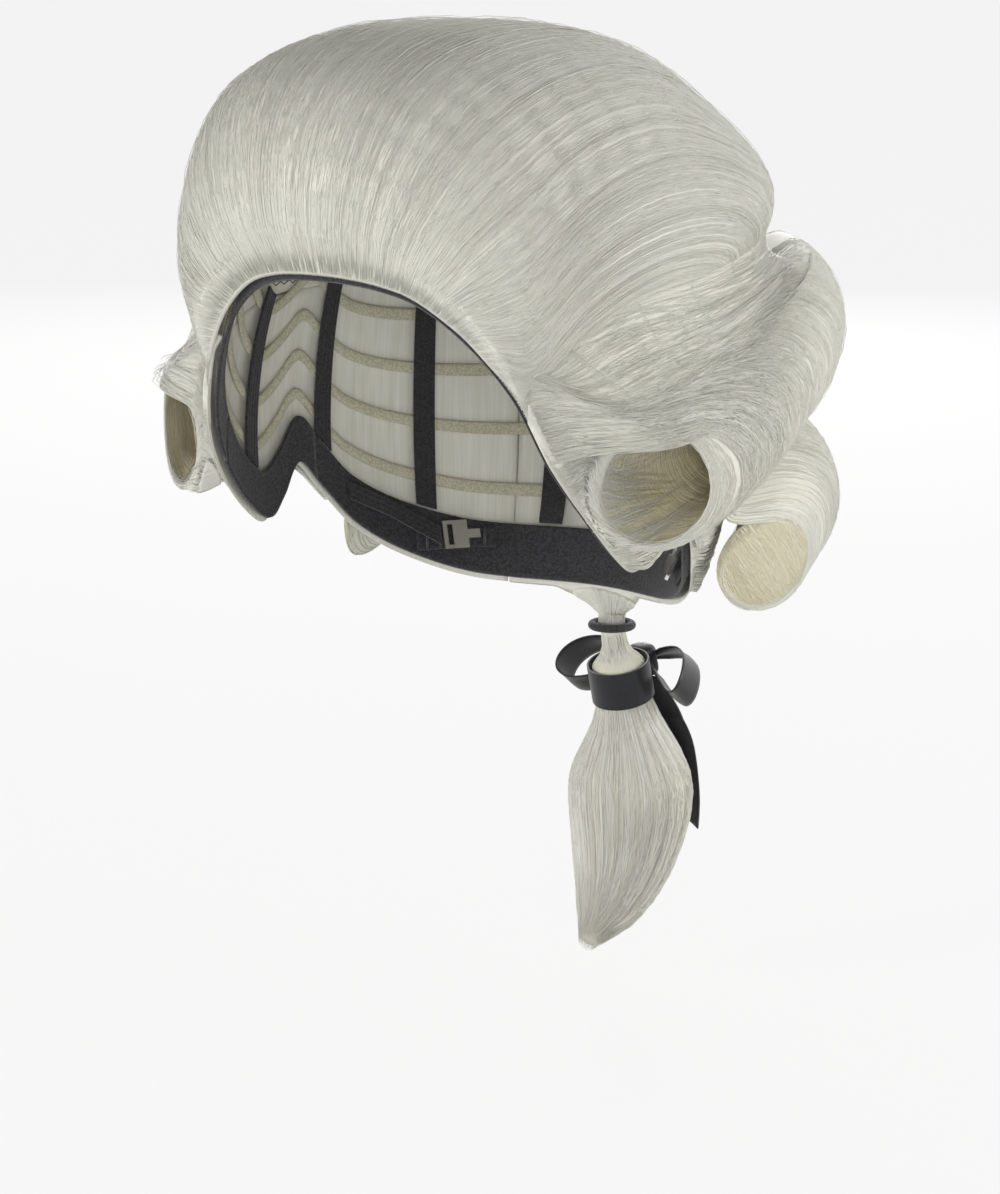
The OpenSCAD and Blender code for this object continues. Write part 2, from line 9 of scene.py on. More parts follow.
import bpy
import numpy as np
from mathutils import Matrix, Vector


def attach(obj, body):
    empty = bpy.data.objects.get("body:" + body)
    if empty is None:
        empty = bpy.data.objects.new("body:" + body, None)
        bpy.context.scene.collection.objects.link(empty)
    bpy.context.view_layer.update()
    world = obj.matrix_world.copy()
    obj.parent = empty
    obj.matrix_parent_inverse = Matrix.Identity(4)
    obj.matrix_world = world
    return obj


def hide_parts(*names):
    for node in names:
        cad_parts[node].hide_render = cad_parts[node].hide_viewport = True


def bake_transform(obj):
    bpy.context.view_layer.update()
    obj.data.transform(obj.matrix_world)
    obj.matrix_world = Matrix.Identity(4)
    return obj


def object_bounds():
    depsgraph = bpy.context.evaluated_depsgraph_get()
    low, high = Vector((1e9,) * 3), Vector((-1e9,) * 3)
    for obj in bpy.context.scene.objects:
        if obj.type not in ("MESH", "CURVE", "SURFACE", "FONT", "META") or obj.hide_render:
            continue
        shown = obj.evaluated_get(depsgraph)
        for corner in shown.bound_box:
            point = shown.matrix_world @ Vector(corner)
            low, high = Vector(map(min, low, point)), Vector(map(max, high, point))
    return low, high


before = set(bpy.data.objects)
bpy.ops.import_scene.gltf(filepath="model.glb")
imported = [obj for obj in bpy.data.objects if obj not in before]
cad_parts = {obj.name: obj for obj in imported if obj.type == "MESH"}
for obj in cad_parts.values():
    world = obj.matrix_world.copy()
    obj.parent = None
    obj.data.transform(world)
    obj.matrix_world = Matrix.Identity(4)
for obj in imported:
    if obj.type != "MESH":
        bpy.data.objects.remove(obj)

cad_box = [list(corner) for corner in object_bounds()]
bpy.ops.object.select_all(action="DESELECT")
MM = 0.001
print("nodes in the frame:", len(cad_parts))

# %% [markdown]
# Some small helpers come first. Colours are written as sRGB hex, as a paint chart
# gives them, and turned to linear light once. Shader nodes are all added by one
# function, so a material reads as a short list of nodes and links.

# %% Colour and node helpers
def colour(code):
    parts = [int(code[i:i + 2], 16) / 255 for i in (1, 3, 5)]
    return [p / 12.92 if p <= 0.04045 else ((p + 0.055) / 1.055) ** 2.4 for p in parts] + [1.0]


def add_node(tree, kind, links=None, stops=(), **settings):
    """Add a node. A link is the output of another node, or a number for that socket."""
    node = tree.nodes.new(kind)
    for key, value in settings.items():
        if key in node.inputs:
            node.inputs[key].default_value = value
        else:
            setattr(node, key, value)
    for socket, source in (links or {}).items():
        if isinstance(source, (int, float)):
            node.inputs[socket].default_value = source
        else:
            tree.links.new(source, node.inputs[socket])
    for _ in stops[2:]:
        node.color_ramp.elements.new(0.5)
    for i, (place, code) in enumerate(stops):
        node.color_ramp.elements[i].position = place
        node.color_ramp.elements[i].color = colour(code)
    return node


def new_material(name):
    made = bpy.data.materials.new(name)
    made.use_nodes = True
    tree = made.node_tree
    return made, tree, tree.nodes["Principled BSDF"]


print("helpers ready")

# %% [markdown]
# The camera stands where the photograph was taken from: 35 degrees round to the
# wig's left, 10 degrees up and 1.4 m away. Shift moves the frame without turning
# the camera, so the picture keeps its perspective.

# %% Camera
PHOTO_W, PHOTO_H = 1000, 1194
CAMERA_AZIMUTH, CAMERA_ELEVATION, CAMERA_DISTANCE = 35, 10, 1.4
PIXELS_PER_M = 3000
ORIGIN_PX = (466, 452)
SENSOR_MM = 36


def direction(azimuth, elevation):
    a, e = math.radians(azimuth), math.radians(elevation)
    return Vector((math.sin(a) * math.cos(e), -math.cos(a) * math.cos(e), math.sin(e)))


towards_camera = direction(CAMERA_AZIMUTH, CAMERA_ELEVATION)
bpy.ops.object.camera_add(location=towards_camera * CAMERA_DISTANCE)
camera = bpy.context.object
camera.rotation_euler = (-towards_camera).to_track_quat("-Z", "Y").to_euler()
camera.data.sensor_width = SENSOR_MM
camera.data.lens = SENSOR_MM * PIXELS_PER_M * CAMERA_DISTANCE / PHOTO_H
camera.data.shift_x = (PHOTO_W / 2 - ORIGIN_PX[0]) / PHOTO_H
camera.data.shift_y = (ORIGIN_PX[1] - PHOTO_H / 2) / PHOTO_H
bpy.context.scene.camera = camera
print("lens", round(camera.data.lens, 1), "mm")

# %% [markdown]
# Soft studio light: four large lamps stand round the wig, the side lamps a little
# stronger than the front one, with a pale world all round. The floor is pale and lies
# under the tip of the queue. What the camera sees of the world is plain white.

# %% Light, world and floor
# Azimuth and elevation in degrees, size in metres and power in watts of each lamp.
LAMPS = {"front_lamp": (36, 3, 0.9, 10), "left_lamp": (-36, 4, 0.9, 14.5),
         "right_lamp": (118, 10, 1.0, 13.5), "back_lamp": (212, 15, 0.8, 9)}
LAMP_DISTANCE, WORLD_LIGHT = 1.8, 0.26
FLOOR_DROP, FLOOR_SHOWN = 0.012, 0.85


def area_lamp(name, azimuth, elevation, size, watts):
    place = direction(azimuth, elevation) * LAMP_DISTANCE
    bpy.ops.object.light_add(type="AREA", location=place)
    lamp = bpy.context.object
    lamp.name = name
    lamp.rotation_euler = (-place).to_track_quat("-Z", "Y").to_euler()
    lamp.data.shape = "DISK"
    lamp.data.size = size
    lamp.data.energy = watts


for name, facts in LAMPS.items():
    area_lamp(name, *facts)

world = bpy.data.worlds.new("studio")
bpy.context.scene.world = world
world.use_nodes = True
tree = world.node_tree
sky = tree.nodes["Background"]
ray = add_node(tree, "ShaderNodeLightPath")
glossy = add_node(
    tree, "ShaderNodeMath", {0: ray.outputs["Is Camera Ray"], 1: ray.outputs["Is Glossy Ray"]},
    operation="MAXIMUM")
seen = add_node(
    tree, "ShaderNodeMath", {0: glossy.outputs[0], 1: ray.outputs["Is Transmission Ray"]},
    operation="MAXIMUM")
level = add_node(
    tree, "ShaderNodeMapRange", {"Value": seen.outputs[0], "To Min": WORLD_LIGHT, "To Max": 1.0})
sky.inputs["Color"].default_value = (1, 1, 1, 1)
tree.links.new(level.outputs["Result"], sky.inputs["Strength"])

bpy.ops.mesh.primitive_plane_add(size=80, location=(0, 0, cad_box[0][2] - FLOOR_DROP))
floor = bpy.context.object
floor.name = "floor"
bpy.ops.object.transform_apply(location=True)
floor_paint, tree, shader = new_material("matt white floor")
ray = add_node(tree, "ShaderNodeLightPath")
shader.inputs["Base Color"].default_value = colour("#f4f4f2")
shader.inputs["Roughness"].default_value = 0.9
bright = add_node(tree, "ShaderNodeEmission", Strength=1.0)
shown = add_node(
    tree, "ShaderNodeMath", {0: ray.outputs["Is Camera Ray"], 1: FLOOR_SHOWN}, operation="MULTIPLY")
mixed = add_node(
    tree, "ShaderNodeMixShader", {0: shown.outputs[0], 1: shader.outputs[0], 2: bright.outputs[0]})
tree.links.new(mixed.outputs[0], tree.nodes["Material Output"].inputs["Surface"])
floor.data.materials.append(floor_paint)
bpy.context.scene.view_settings.view_transform = "Standard"
print("lamps", len(LAMPS), "floor at, m:", round(cad_box[0][2] - FLOOR_DROP, 3))

# %% [markdown]
# The fibre is modacrylic, heat-set in its shape: an ivory, slightly see-through
# plastic thread with a satin gloss. A real fibre is under 0.1 mm thick. These are
# drawn coarser, as small locks of a few fibres, so that they show. Each strand keeps
# one number for its tint in u and its length in v, and the finish reads only those.

# %% Fibre finishes
UV_NAME = "OFBake"
PALE, MID, SHADE, CREAM = "#efefe8", "#e7e6dc", "#d8d7ca", "#ddd8bd"
# Tone noise is read far apart for each strand and five times along it, so that a strand
# changes tone every few centimetres, as a lock of real fibre does.
GRAIN_APART, GRAIN_ALONG = 900, 5
FIBRE_IOR = 1.5


def fibre_finish(name, stops, roughness):
    made, tree, shader = new_material(name)
    uv = add_node(tree, "ShaderNodeUVMap", uv_map=UV_NAME)
    part = add_node(tree, "ShaderNodeSeparateXYZ", {0: uv.outputs[0]})
    across = add_node(tree, "ShaderNodeMath", {0: part.outputs[0], 1: GRAIN_APART}, operation="MULTIPLY")
    along = add_node(tree, "ShaderNodeMath", {0: part.outputs[1], 1: GRAIN_ALONG}, operation="MULTIPLY")
    place = add_node(tree, "ShaderNodeCombineXYZ", {0: across.outputs[0], 1: along.outputs[0]})
    grain = add_node(tree, "ShaderNodeTexNoise", {"Vector": place.outputs[0]}, Scale=1.0, Detail=1.0)
    both = add_node(
        tree, "ShaderNodeMath", {0: part.outputs[0], 1: grain.outputs["Fac"]}, operation="ADD")
    half = add_node(tree, "ShaderNodeMath", {0: both.outputs[0], 1: 0.5}, operation="MULTIPLY")
    tone = add_node(tree, "ShaderNodeValToRGB", {"Fac": half.outputs[0]}, stops)
    tree.links.new(tone.outputs["Color"], shader.inputs["Base Color"])
    shader.inputs["Roughness"].default_value = roughness
    shader.inputs["IOR"].default_value = FIBRE_IOR
    return made


# Ivory on the outside and creamier in the queue. Inside the rolls and on their closed ends the fibre
# is painted warmer and a little darker: painted shade, as light is warmed from fibre to fibre.
fibre = fibre_finish("heat-set ivory fibre", [(0.15, SHADE), (0.5, MID), (0.85, PALE)], 0.42)
queue_fibre = fibre_finish("heat-set cream fibre", [(0.15, CREAM), (0.5, MID), (0.85, PALE)], 0.42)
painted_shade_fibre = fibre_finish("fibre with painted warm shade", [(0.2, "#d8d1b0"), (0.8, "#e8e4cf")], 0.5)
print("fibre finishes", fibre.name, queue_fibre.name, painted_shade_fibre.name, sep=", ")

# %% [markdown]
# The inside of the cap carries everything. It is an egg, taller above its widest level
# than below it. A place on it is an angle round it, 0 at the front and 90 at the wig's
# left side, a polar angle down from its top, and a lift off it. Working in these three
# numbers is easier than in x, y and z, because all layers of the wig follow that egg.

# %% Cap and hairline shapes, in millimetres and degrees
HEAD_X, HEAD_Y, HEAD_TOP, HEAD_LOW = 76, 98, 113, 95
CAP_T, WEFT_T, LAYER_GAP, BAND_W = 1.2, 1.4, 0.5, 18
HAIRLINE_Z, UNDER_H, BACK_H = 66, 2.6, 15
CROWN_TOP, CROWN_FRONT, CROWN_SIDE, CROWN_BACK = 27, 36, 40, 33
WEFT_IN = CAP_T + LAYER_GAP
HAIR_IN = WEFT_IN + WEFT_T + LAYER_GAP
CURL_IN = HAIR_IN + UNDER_H + LAYER_GAP
RIM_TABLE = [
    (0, HAIRLINE_Z), (20, HAIRLINE_Z - 4), (33, HAIRLINE_Z - 15.5), (45, 31), (53, 9), (62, -8),
    (72, -22), (80, -28), (88, -22), (96, -12), (104, -22), (114, -36), (130, -48), (150, -56), (180, -58)]
CROWN_TABLE = [
    (0, HAIRLINE_Z), (20, HAIRLINE_Z - 4), (33, HAIRLINE_Z - 15.5), (42, 37), (48, 29), (60, 39),
    (72, 44), (90, 46), (110, 48), (135, 51), (180, 54)]
SHOULDER_TABLE = [
    (0, CROWN_FRONT), (55, CROWN_FRONT + 5), (90, CROWN_SIDE), (125, CROWN_SIDE - 3), (180, CROWN_BACK)]
LOW_TABLE = [
    (0, CROWN_FRONT - 6), (55, CROWN_FRONT - 8), (90, CROWN_SIDE - 2), (125, CROWN_SIDE + 9),
    (180, CROWN_BACK + 6)]
SHOULDER_P, LOW_P, EDGE_H = 32, 58, 1.6


def lerp(a, b, u):
    return a + (b - a) * u


def bezier(p0, p1, p2, p3, u):
    v = 1 - u
    return v**3 * p0 + 3 * v**2 * u * p1 + 3 * v * u**2 * p2 + u**3 * p3


def grid(rows, columns):
    return np.meshgrid(rows, columns, indexing="ij")


def ease(x):
    u = np.clip(x, 0, 1)
    return u * u * (3 - 2 * u)


def sin_d(x):
    return np.sin(np.radians(x))


def cos_d(x):
    return np.cos(np.radians(x))


def smooth_at(table, x):
    xs, ys = np.array(table, float).T
    slope = np.zeros(len(xs))
    slope[1:-1] = (ys[2:] - ys[:-2]) / (xs[2:] - xs[:-2])
    x = np.asarray(x, float)
    i = np.clip(np.searchsorted(xs, x, side="right") - 1, 0, len(xs) - 2)
    h = xs[i + 1] - xs[i]
    u = np.clip((x - xs[i]) / h, 0, 1)
    return (ys[i] * (2 * u**3 - 3 * u**2 + 1) + slope[i] * h * (u**3 - 2 * u**2 + u)
            + ys[i + 1] * (3 * u**2 - 2 * u**3) + slope[i + 1] * h * (u**3 - u**2))


def fold(a):
    return np.abs((np.asarray(a, float) + 180) % 360 - 180)


def half_height(z):
    return np.where(np.asarray(z) >= 0, HEAD_TOP, HEAD_LOW)


def ring_r(a):
    return 1 / np.sqrt((sin_d(a) / HEAD_X) ** 2 + (cos_d(a) / HEAD_Y) ** 2)


def level_r(a, z):
    return ring_r(a) * np.sqrt(np.maximum(0, 1 - (z / half_height(z)) ** 2))


def polar_of(a, z):
    return np.degrees(np.arctan2(level_r(a, z), z))


def on_head(a, p, lift):
    r = lift + 1 / np.sqrt((sin_d(p) / ring_r(a)) ** 2 + (cos_d(p) / half_height(90 - np.asarray(p))) ** 2)
    return np.stack(np.broadcast_arrays(
        r * sin_d(p) * sin_d(a), -r * sin_d(p) * cos_d(a), r * cos_d(p)), -1)


def degrees_of(length):
    return np.degrees(length / ((HEAD_X + HEAD_Y) / 2))


def rim_p(a):
    return polar_of(a, smooth_at(RIM_TABLE, fold(a)))


def crown_p(a):
    return polar_of(a, smooth_at(CROWN_TABLE, fold(a)))


def band_p(a):
    return rim_p(a) - degrees_of(BAND_W)


def net_p(a):
    return 0.55 * band_p(a)


# %% [markdown]
# The crown hair is puffed up in front and at the sides, and lies flatter at its top and
# lower edge. Its depth could be sculpted, but then nothing else could be set on it by
# number. So it is one function of the place on the cap, read from two tables.

# %% Crown depth
def puffed_h(a, p):
    """Depth of the crown hair at an angle round the cap and a polar angle down from its top."""
    t = np.minimum(p / crown_p(a), 1)
    shoulder, low = smooth_at(SHOULDER_TABLE, fold(a)), smooth_at(LOW_TABLE, fold(a))
    puff = np.where(p < SHOULDER_P, lerp(CROWN_TOP, shoulder, ease(p / SHOULDER_P)),
                    lerp(shoulder, low, ease((p - SHOULDER_P) / (LOW_P - SHOULDER_P))))
    side = np.clip((fold(a) - 38) / 24, 0, 1)
    power, round_off = lerp(5, 9, side), lerp(1.25, 2.5, side)
    return np.maximum(EDGE_H, puff * (1 - t**power) ** (1 / round_off))


# Combed hair keeps no sharp corner at the temple, so the depth is blurred round the cap.
BLUR = 10
map_a, map_p = grid(np.arange(-180, 180, 1.0), np.arange(0, 90, 0.5))
sharp = puffed_h(map_a, map_p)
shifts = np.arange(-3 * BLUR, 3 * BLUR + 1)
weights = np.exp(-0.5 * (shifts / BLUR) ** 2)
soft_map = sum(w * np.roll(sharp, k, axis=0) for k, w in zip(shifts, weights)) / weights.sum()


def crown_h(a, t):
    p = t * crown_p(a)
    x, y = (np.asarray(a) + 180) % 360, np.clip(p / 0.5, 0, soft_map.shape[1] - 1.01)
    i, k = x.astype(int) % 360, y.astype(int)
    u, v = x - np.floor(x), y - k
    j = (i + 1) % 360
    height = lerp(lerp(soft_map[i, k], soft_map[j, k], u),
                  lerp(soft_map[i, k + 1], soft_map[j, k + 1], u), v)
    steep = lerp(2.2, 9, ease((fold(a) - 46) / 22))
    room = np.radians(crown_p(a) - p) * (HEAD_X + HEAD_Y) / 2
    return np.maximum(EDGE_H, np.minimum(height, EDGE_H + steep * room))


print("cap rim at the nape, mm:", np.round(on_head(180, rim_p(180), 0), 1))

# %% [markdown]
# Hair needs thousands of strands, far more than can be placed by hand, and Blender's own
# hair has no mesh to export. So one function sweeps a thin closed three-sided tube along
# each path of a large array.

# %% Strand builder
rng = np.random.default_rng(1760)
made_tris = {}


def new_piece(name, points, faces, uvs, finish, body, slot):
    mesh = bpy.data.meshes.new(name)
    around = points[faces]
    # Faces point outwards where the volume that they enclose comes out positive.
    volume = sum(np.einsum("ij,ij->", around[:, 0], np.cross(around[:, k], around[:, k + 1]))
                 for k in range(1, faces.shape[1] - 1))
    mesh.from_pydata(points * MM, [], faces if volume > 0 else faces[:, ::-1])
    layer = mesh.uv_layers.new(name=UV_NAME)
    order = np.empty(len(mesh.loops), np.int32)
    mesh.loops.foreach_get("vertex_index", order)
    layer.uv.foreach_set("vector", uvs[order].astype(np.float32).ravel())
    mesh.shade_smooth()
    mesh.materials.append(finish)
    piece = bpy.data.objects.new(name, mesh)
    bpy.context.scene.collection.objects.link(piece)
    if body:
        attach(piece, body)
    made_tris[name] = sum(len(p.vertices) - 2 for p in mesh.polygons)
    return piece


def unit(v):
    return v / np.maximum(np.linalg.norm(v, axis=-1, keepdims=True), 1e-9)


def strand_piece(name, paths, thick, tint, finish, body):
    n, k, _ = paths.shape
    way = unit(np.gradient(paths, axis=1))
    out = unit(paths + rng.normal(0, 4, (n, 1, 3)))
    side = unit(np.cross(way, out))
    up = np.cross(side, way)
    share = np.linspace(0, 1, k)
    taper = 0.25 + 0.75 * np.clip(np.minimum(share * 12, (1 - share) * 6), 0, 1)
    radius = (np.asarray(thick).reshape(-1, 1) / 2 * taper)[..., None, None]
    turns = np.radians([90, 210, 330])
    rings = paths[:, :, None] + radius * (
        np.cos(turns)[:, None] * side[:, :, None] + np.sin(turns)[:, None] * up[:, :, None])
    ring = (np.arange(n)[:, None, None] * k + np.arange(k - 1)[None, :, None]) * 3
    a, b = ring + np.arange(3), ring + (np.arange(3) + 1) % 3
    walls = np.concatenate([np.stack([a, b, b + 3], -1), np.stack([a, b + 3, a + 3], -1)], 2).reshape(-1, 3)
    first = np.arange(n)[:, None] * k * 3
    ends = np.concatenate([first + [2, 1, 0], first + (k - 1) * 3 + [0, 1, 2]])
    uvs = np.stack(np.broadcast_arrays(
        np.asarray(tint).reshape(-1, 1, 1), share[None, :, None] * np.ones((1, 1, 3))), -1)
    faces = np.concatenate([walls, ends])
    return new_piece(name, rings.reshape(-1, 3), faces, uvs.reshape(-1, 2), finish, body, "hair")


print("strand builder ready")

# %% [markdown]
# Under the strands lies a smooth mass that closes the gaps between them. Where it is a
# sheet, a closed skin between an inner and an outer surface is made. Where it is a roll
# or a tail, rings are joined one after the other and both ends are filled.

# %% Skin builders
def grid_faces(rows, columns, ring=False, start=0):
    i, j = grid(np.arange(rows - 1), np.arange(columns if ring else columns - 1))
    a, b = i * columns + j, i * columns + (j + 1) % columns
    return np.stack([a, b, b + columns, a + columns], -1).reshape(-1, 4) + start


def skin_piece(name, high, low, finish, body, slot):
    rows, columns, _ = high.shape
    count = rows * columns
    top = grid_faces(rows, columns)
    bottom = grid_faces(rows, columns, start=count)[:, ::-1]
    edge = np.concatenate([
        np.arange(columns - 1), np.arange(rows - 1) * columns + columns - 1,
        count - 1 - np.arange(columns - 1), (rows - 1 - np.arange(rows - 1)) * columns])
    after = np.roll(edge, -1)
    rim = np.stack([after, edge, edge + count, after + count], -1)
    u, v = grid(np.linspace(0.01, 0.49, rows), np.linspace(0.01, 0.99, columns))
    uvs = np.concatenate([np.stack([u, v], -1).reshape(-1, 2), np.stack([u + 0.5, v], -1).reshape(-1, 2)])
    points = np.concatenate([high.reshape(-1, 3), low.reshape(-1, 3)])
    return new_piece(name, points, np.concatenate([top, bottom, rim]), uvs, finish, body, slot)


def ring_piece(name, rows, finish, body, slot, seam=0):
    """A closed solid through rows of rings, with both ends filled by a strip that starts at seam."""
    n, m, _ = rows.shape
    i = np.arange(m // 2 - 1)
    near, far = seam + i, seam - 1 - i
    strip = np.stack([near, far, far - 1, near + 1], -1) % m
    ends = np.concatenate([strip, strip[:, ::-1] + (n - 1) * m])
    v, u = grid(np.linspace(0.01, 0.99, n), np.linspace(0.01, 0.99, m))
    return new_piece(name, rows.reshape(-1, 3), np.concatenate([grid_faces(n, m, ring=True), ends]),
                     np.stack([u, v], -1).reshape(-1, 2), finish, body, slot)


def mirror_x(points):
    return points * np.array([-1, 1, 1])


SIDES = (("left", np.array), ("right", mirror_x))
print("skin builders ready")

# %% [markdown]
# Combed hair clings together in locks. Each lock is a strip of its own width, with its
# own height and tone, and its strands are drawn a little towards its middle. Without
# locks, even strands look like a brush.

# %% Locks
# How many locks each section of hair is combed into.
LOCKS = dict(crown=85, curl=100, temple=65, side=90, rear=50, back=60, queue=70)
# Thickness of the strands in millimetres, with a range where it varies.
STRAND_T = dict(
    crown=(0.16, 0.28), curl=(0.16, 0.28), temple=0.24, lip=0.24, mouth=0.2, hollow=0.24, coil=0.24,
    hairline=0.2, side=0.3, rear=0.26, back=(0.2, 0.32), short=0.24, nape=0.26, queue=(0.2, 0.32), tie=0.34)


def locks(count, section, tightness):
    """Where each strand lies across a width of 0 to 1, gathered in locks."""
    lock_count = LOCKS[section]
    edges = np.sort(np.concatenate([[0, 1], rng.random(lock_count - 1)]))
    across = rng.random(count)
    which = np.clip(np.searchsorted(edges, across) - 1, 0, lock_count - 1)
    low, high = edges[which], edges[which + 1]
    centre = (low + high) / 2
    place = np.clip((across - centre) / np.maximum(high - low, 1e-6) * 2, -1, 1)
    lift = rng.normal(0, 1, lock_count)[which]
    tone = rng.random(lock_count)[which]
    return lerp(across, centre, tightness), place, lift, tone


def tints(middle, noise, count, tone=0.5, spread=0.2):
    """A tint for each strand: that of its lock, give or take some noise."""
    return np.clip(middle + spread * (tone - 0.5) + rng.normal(0, noise, count), 0.02, 0.98)


def rises(base, crest, wander, noise, place, lift):
    """A height for each strand: highest in the middle of its lock, give or take some noise."""
    return (base + crest * (1 - place**2) + wander * lift + rng.normal(0, noise, len(place)))[:, None]


print("locks in each section:", LOCKS)

# %% [markdown]
# The mass under the strands shows through in places, so it has to look like fibre too:
# streaks that run along v, in three widths, give both its colour and a slight relief.

# %% Packed fibre
# Width in millimetres of the streaks in packed fibre, and how often each changes along it.
STREAKS = ((0.55, 5), (2.2, 3), (7, 2))
STREAK_STOPS = (0.36, 0.5, 0.64)


def mass_finish(name, tones, width_mm, bump_mm):
    """The packed fibre under the strands: fine streaks along v, with broader ones between."""
    made, tree, shader = new_material(name)
    uv = add_node(tree, "ShaderNodeUVMap", uv_map=UV_NAME)
    streaks = []
    for streak_mm, length in STREAKS:
        spread = add_node(tree, "ShaderNodeMapping", {"Vector": uv.outputs[0]},
                          Scale=(width_mm / streak_mm, length, 1))
        noise = add_node(tree, "ShaderNodeTexNoise", {"Vector": spread.outputs[0]}, Scale=1.0, Detail=1.0)
        streaks.append(noise.outputs["Fac"])
    fine = add_node(tree, "ShaderNodeMath", {0: streaks[0], 1: streaks[1]}, operation="ADD")
    total = add_node(tree, "ShaderNodeMath", {0: fine.outputs[0], 1: streaks[2]}, operation="ADD")
    mean = add_node(tree, "ShaderNodeMath", {0: total.outputs[0], 1: len(streaks)}, operation="DIVIDE")
    tone = add_node(
        tree, "ShaderNodeValToRGB", {"Fac": mean.outputs[0]}, list(zip(STREAK_STOPS, tones)))
    tree.links.new(tone.outputs["Color"], shader.inputs["Base Color"])
    bump = add_node(
        tree, "ShaderNodeBump", {"Height": mean.outputs[0]}, Strength=0.5, Distance=bump_mm * MM)
    tree.links.new(bump.outputs[0], shader.inputs["Normal"])
    shader.inputs["Roughness"].default_value = 0.48
    return made


# Packed ivory fibre reads as fine streaks in the gaps between the strands.
hair_mass = mass_finish("packed ivory fibre", ("#dad9cc", "#e4e3d8", "#edece4"), 760, 0.25)
print("packed fibre ready")

# %% [markdown]
# The crown is combed straight back. On a flat disc, with the top of the cap at its
# centre and the lower edge as its rim, the strands leave the front third of the rim
# and run back nearly side by side. The lowest ones follow the rim past the temple.
# Lifting that disc onto the puffed surface gives every strand its path.

# %% Crown flow
FRONT_ARC, LAST_SIDE = 47.5, 97


def crown_flow(w, s):
    """Angle and share of the way to the edge, for strand w (-1 to 1) at share s along it."""
    far = np.abs(w)
    a0 = FRONT_ARC * w
    a1 = np.sign(w + 1e-9) * (180 - (180 - LAST_SIDE) * far)
    p0 = np.stack([sin_d(a0), -cos_d(a0)], -1)
    p3 = np.stack([sin_d(a1), -cos_d(a1)], -1)
    back = np.array([0.0, 1.0])
    round0 = np.stack([np.sign(w) * cos_d(a0), np.abs(sin_d(a0))], -1)
    d0 = unit(lerp(back, round0, (far**2.5)[..., None]))
    d3 = unit(lerp(p3, back, lerp(0.3, 1, far)[..., None]))
    reach = lerp(0.62, 0.30, far**2)[..., None]
    p1, p2 = p0 + d0 * reach, p3 - d3 * reach
    p = bezier(p0, p1, p2, p3, s[..., None])
    t = np.minimum(np.linalg.norm(p, axis=-1), 1)
    return np.degrees(np.arctan2(p[..., 0], -p[..., 1])), t


# Away from the edge the strands don't follow each turn of the hairline.
WIDE = 24
round_a = np.arange(-180, 180, 1.0)
spread = np.exp(-0.5 * (np.arange(-70, 71) / WIDE) ** 2)
calm_p = np.convolve(np.tile(crown_p(round_a), 3), spread / spread.sum(), "same")[360:720]


def crown_polar(a, t):
    calm = np.interp(np.asarray(a), round_a, calm_p, period=360)
    return t * lerp(calm, crown_p(a), t**5)


def crown_place(w, s, lift):
    a, t = crown_flow(w, s)
    p = crown_polar(a, t)
    return on_head(a, p, HAIR_IN + np.maximum(0.2, crown_h(a, p / crown_p(a)) + lift))


# Half way along, strands lie side by side with even gaps, so w is read from that width.
w_line = np.linspace(-1, 1, 401)
width_line = np.linalg.norm(np.diff(crown_place(w_line, 0 * w_line + 0.45, 0), axis=0), axis=-1)
width_line = np.concatenate([[0], np.cumsum(0.35 + width_line)])
CROWN_WIDE = width_line[-1]


def even_w(share):
    return np.interp(share * CROWN_WIDE, width_line, w_line)


# Steps along a strand are closer where the surface bends most, as it does under the back edge.
s_line = np.linspace(0, 1, 801)
trial = crown_place(*grid([0.0, 0.3, 0.6, 0.9], s_line), 0)
move = np.diff(trial, axis=1)
bend = np.degrees(np.arccos(np.clip((unit(move[:, 1:]) * unit(move[:, :-1])).sum(-1), -1, 1)))
cost = np.linalg.norm(move, axis=-1).mean(0) / 18
cost[1:] += bend.mean(0) / 16
cost_line = np.concatenate([[0], np.cumsum(cost)]) / cost.sum()


def along(x):
    return np.interp(x, cost_line, s_line)


w_grid, s_grid = grid(even_w(np.linspace(0, 1, 150)), along(np.linspace(0, 1, 96)))
a_grid, t_grid = crown_flow(w_grid, s_grid)
crown_mass = skin_piece(
    "crown_mass", crown_place(w_grid, s_grid, -0.45), on_head(a_grid, crown_polar(a_grid, t_grid), HAIR_IN),
    hair_mass, "cap", "hair")
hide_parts("crown_hair")
print("crown mass", made_tris["crown_mass"], "width mm", round(CROWN_WIDE))

# %% [markdown]
# Each quarter of the crown gets its own strands, so that no piece grows too large. Long
# ones run from front to back, short ones start anywhere along the way, and some more
# fill the lower back edge, where the surface turns under.

# %% Crown strands
CROWN_PARTS = [("right", 0.0, 0.25), ("near_right", 0.25, 0.5), ("near_left", 0.5, 0.75),
               ("left", 0.75, 1.0)]
# How many strands of each kind a part has, and how many points each strand has.
CROWN_KINDS = (("long", 490, 22), ("short", 990, 10), ("under", 270, 10))


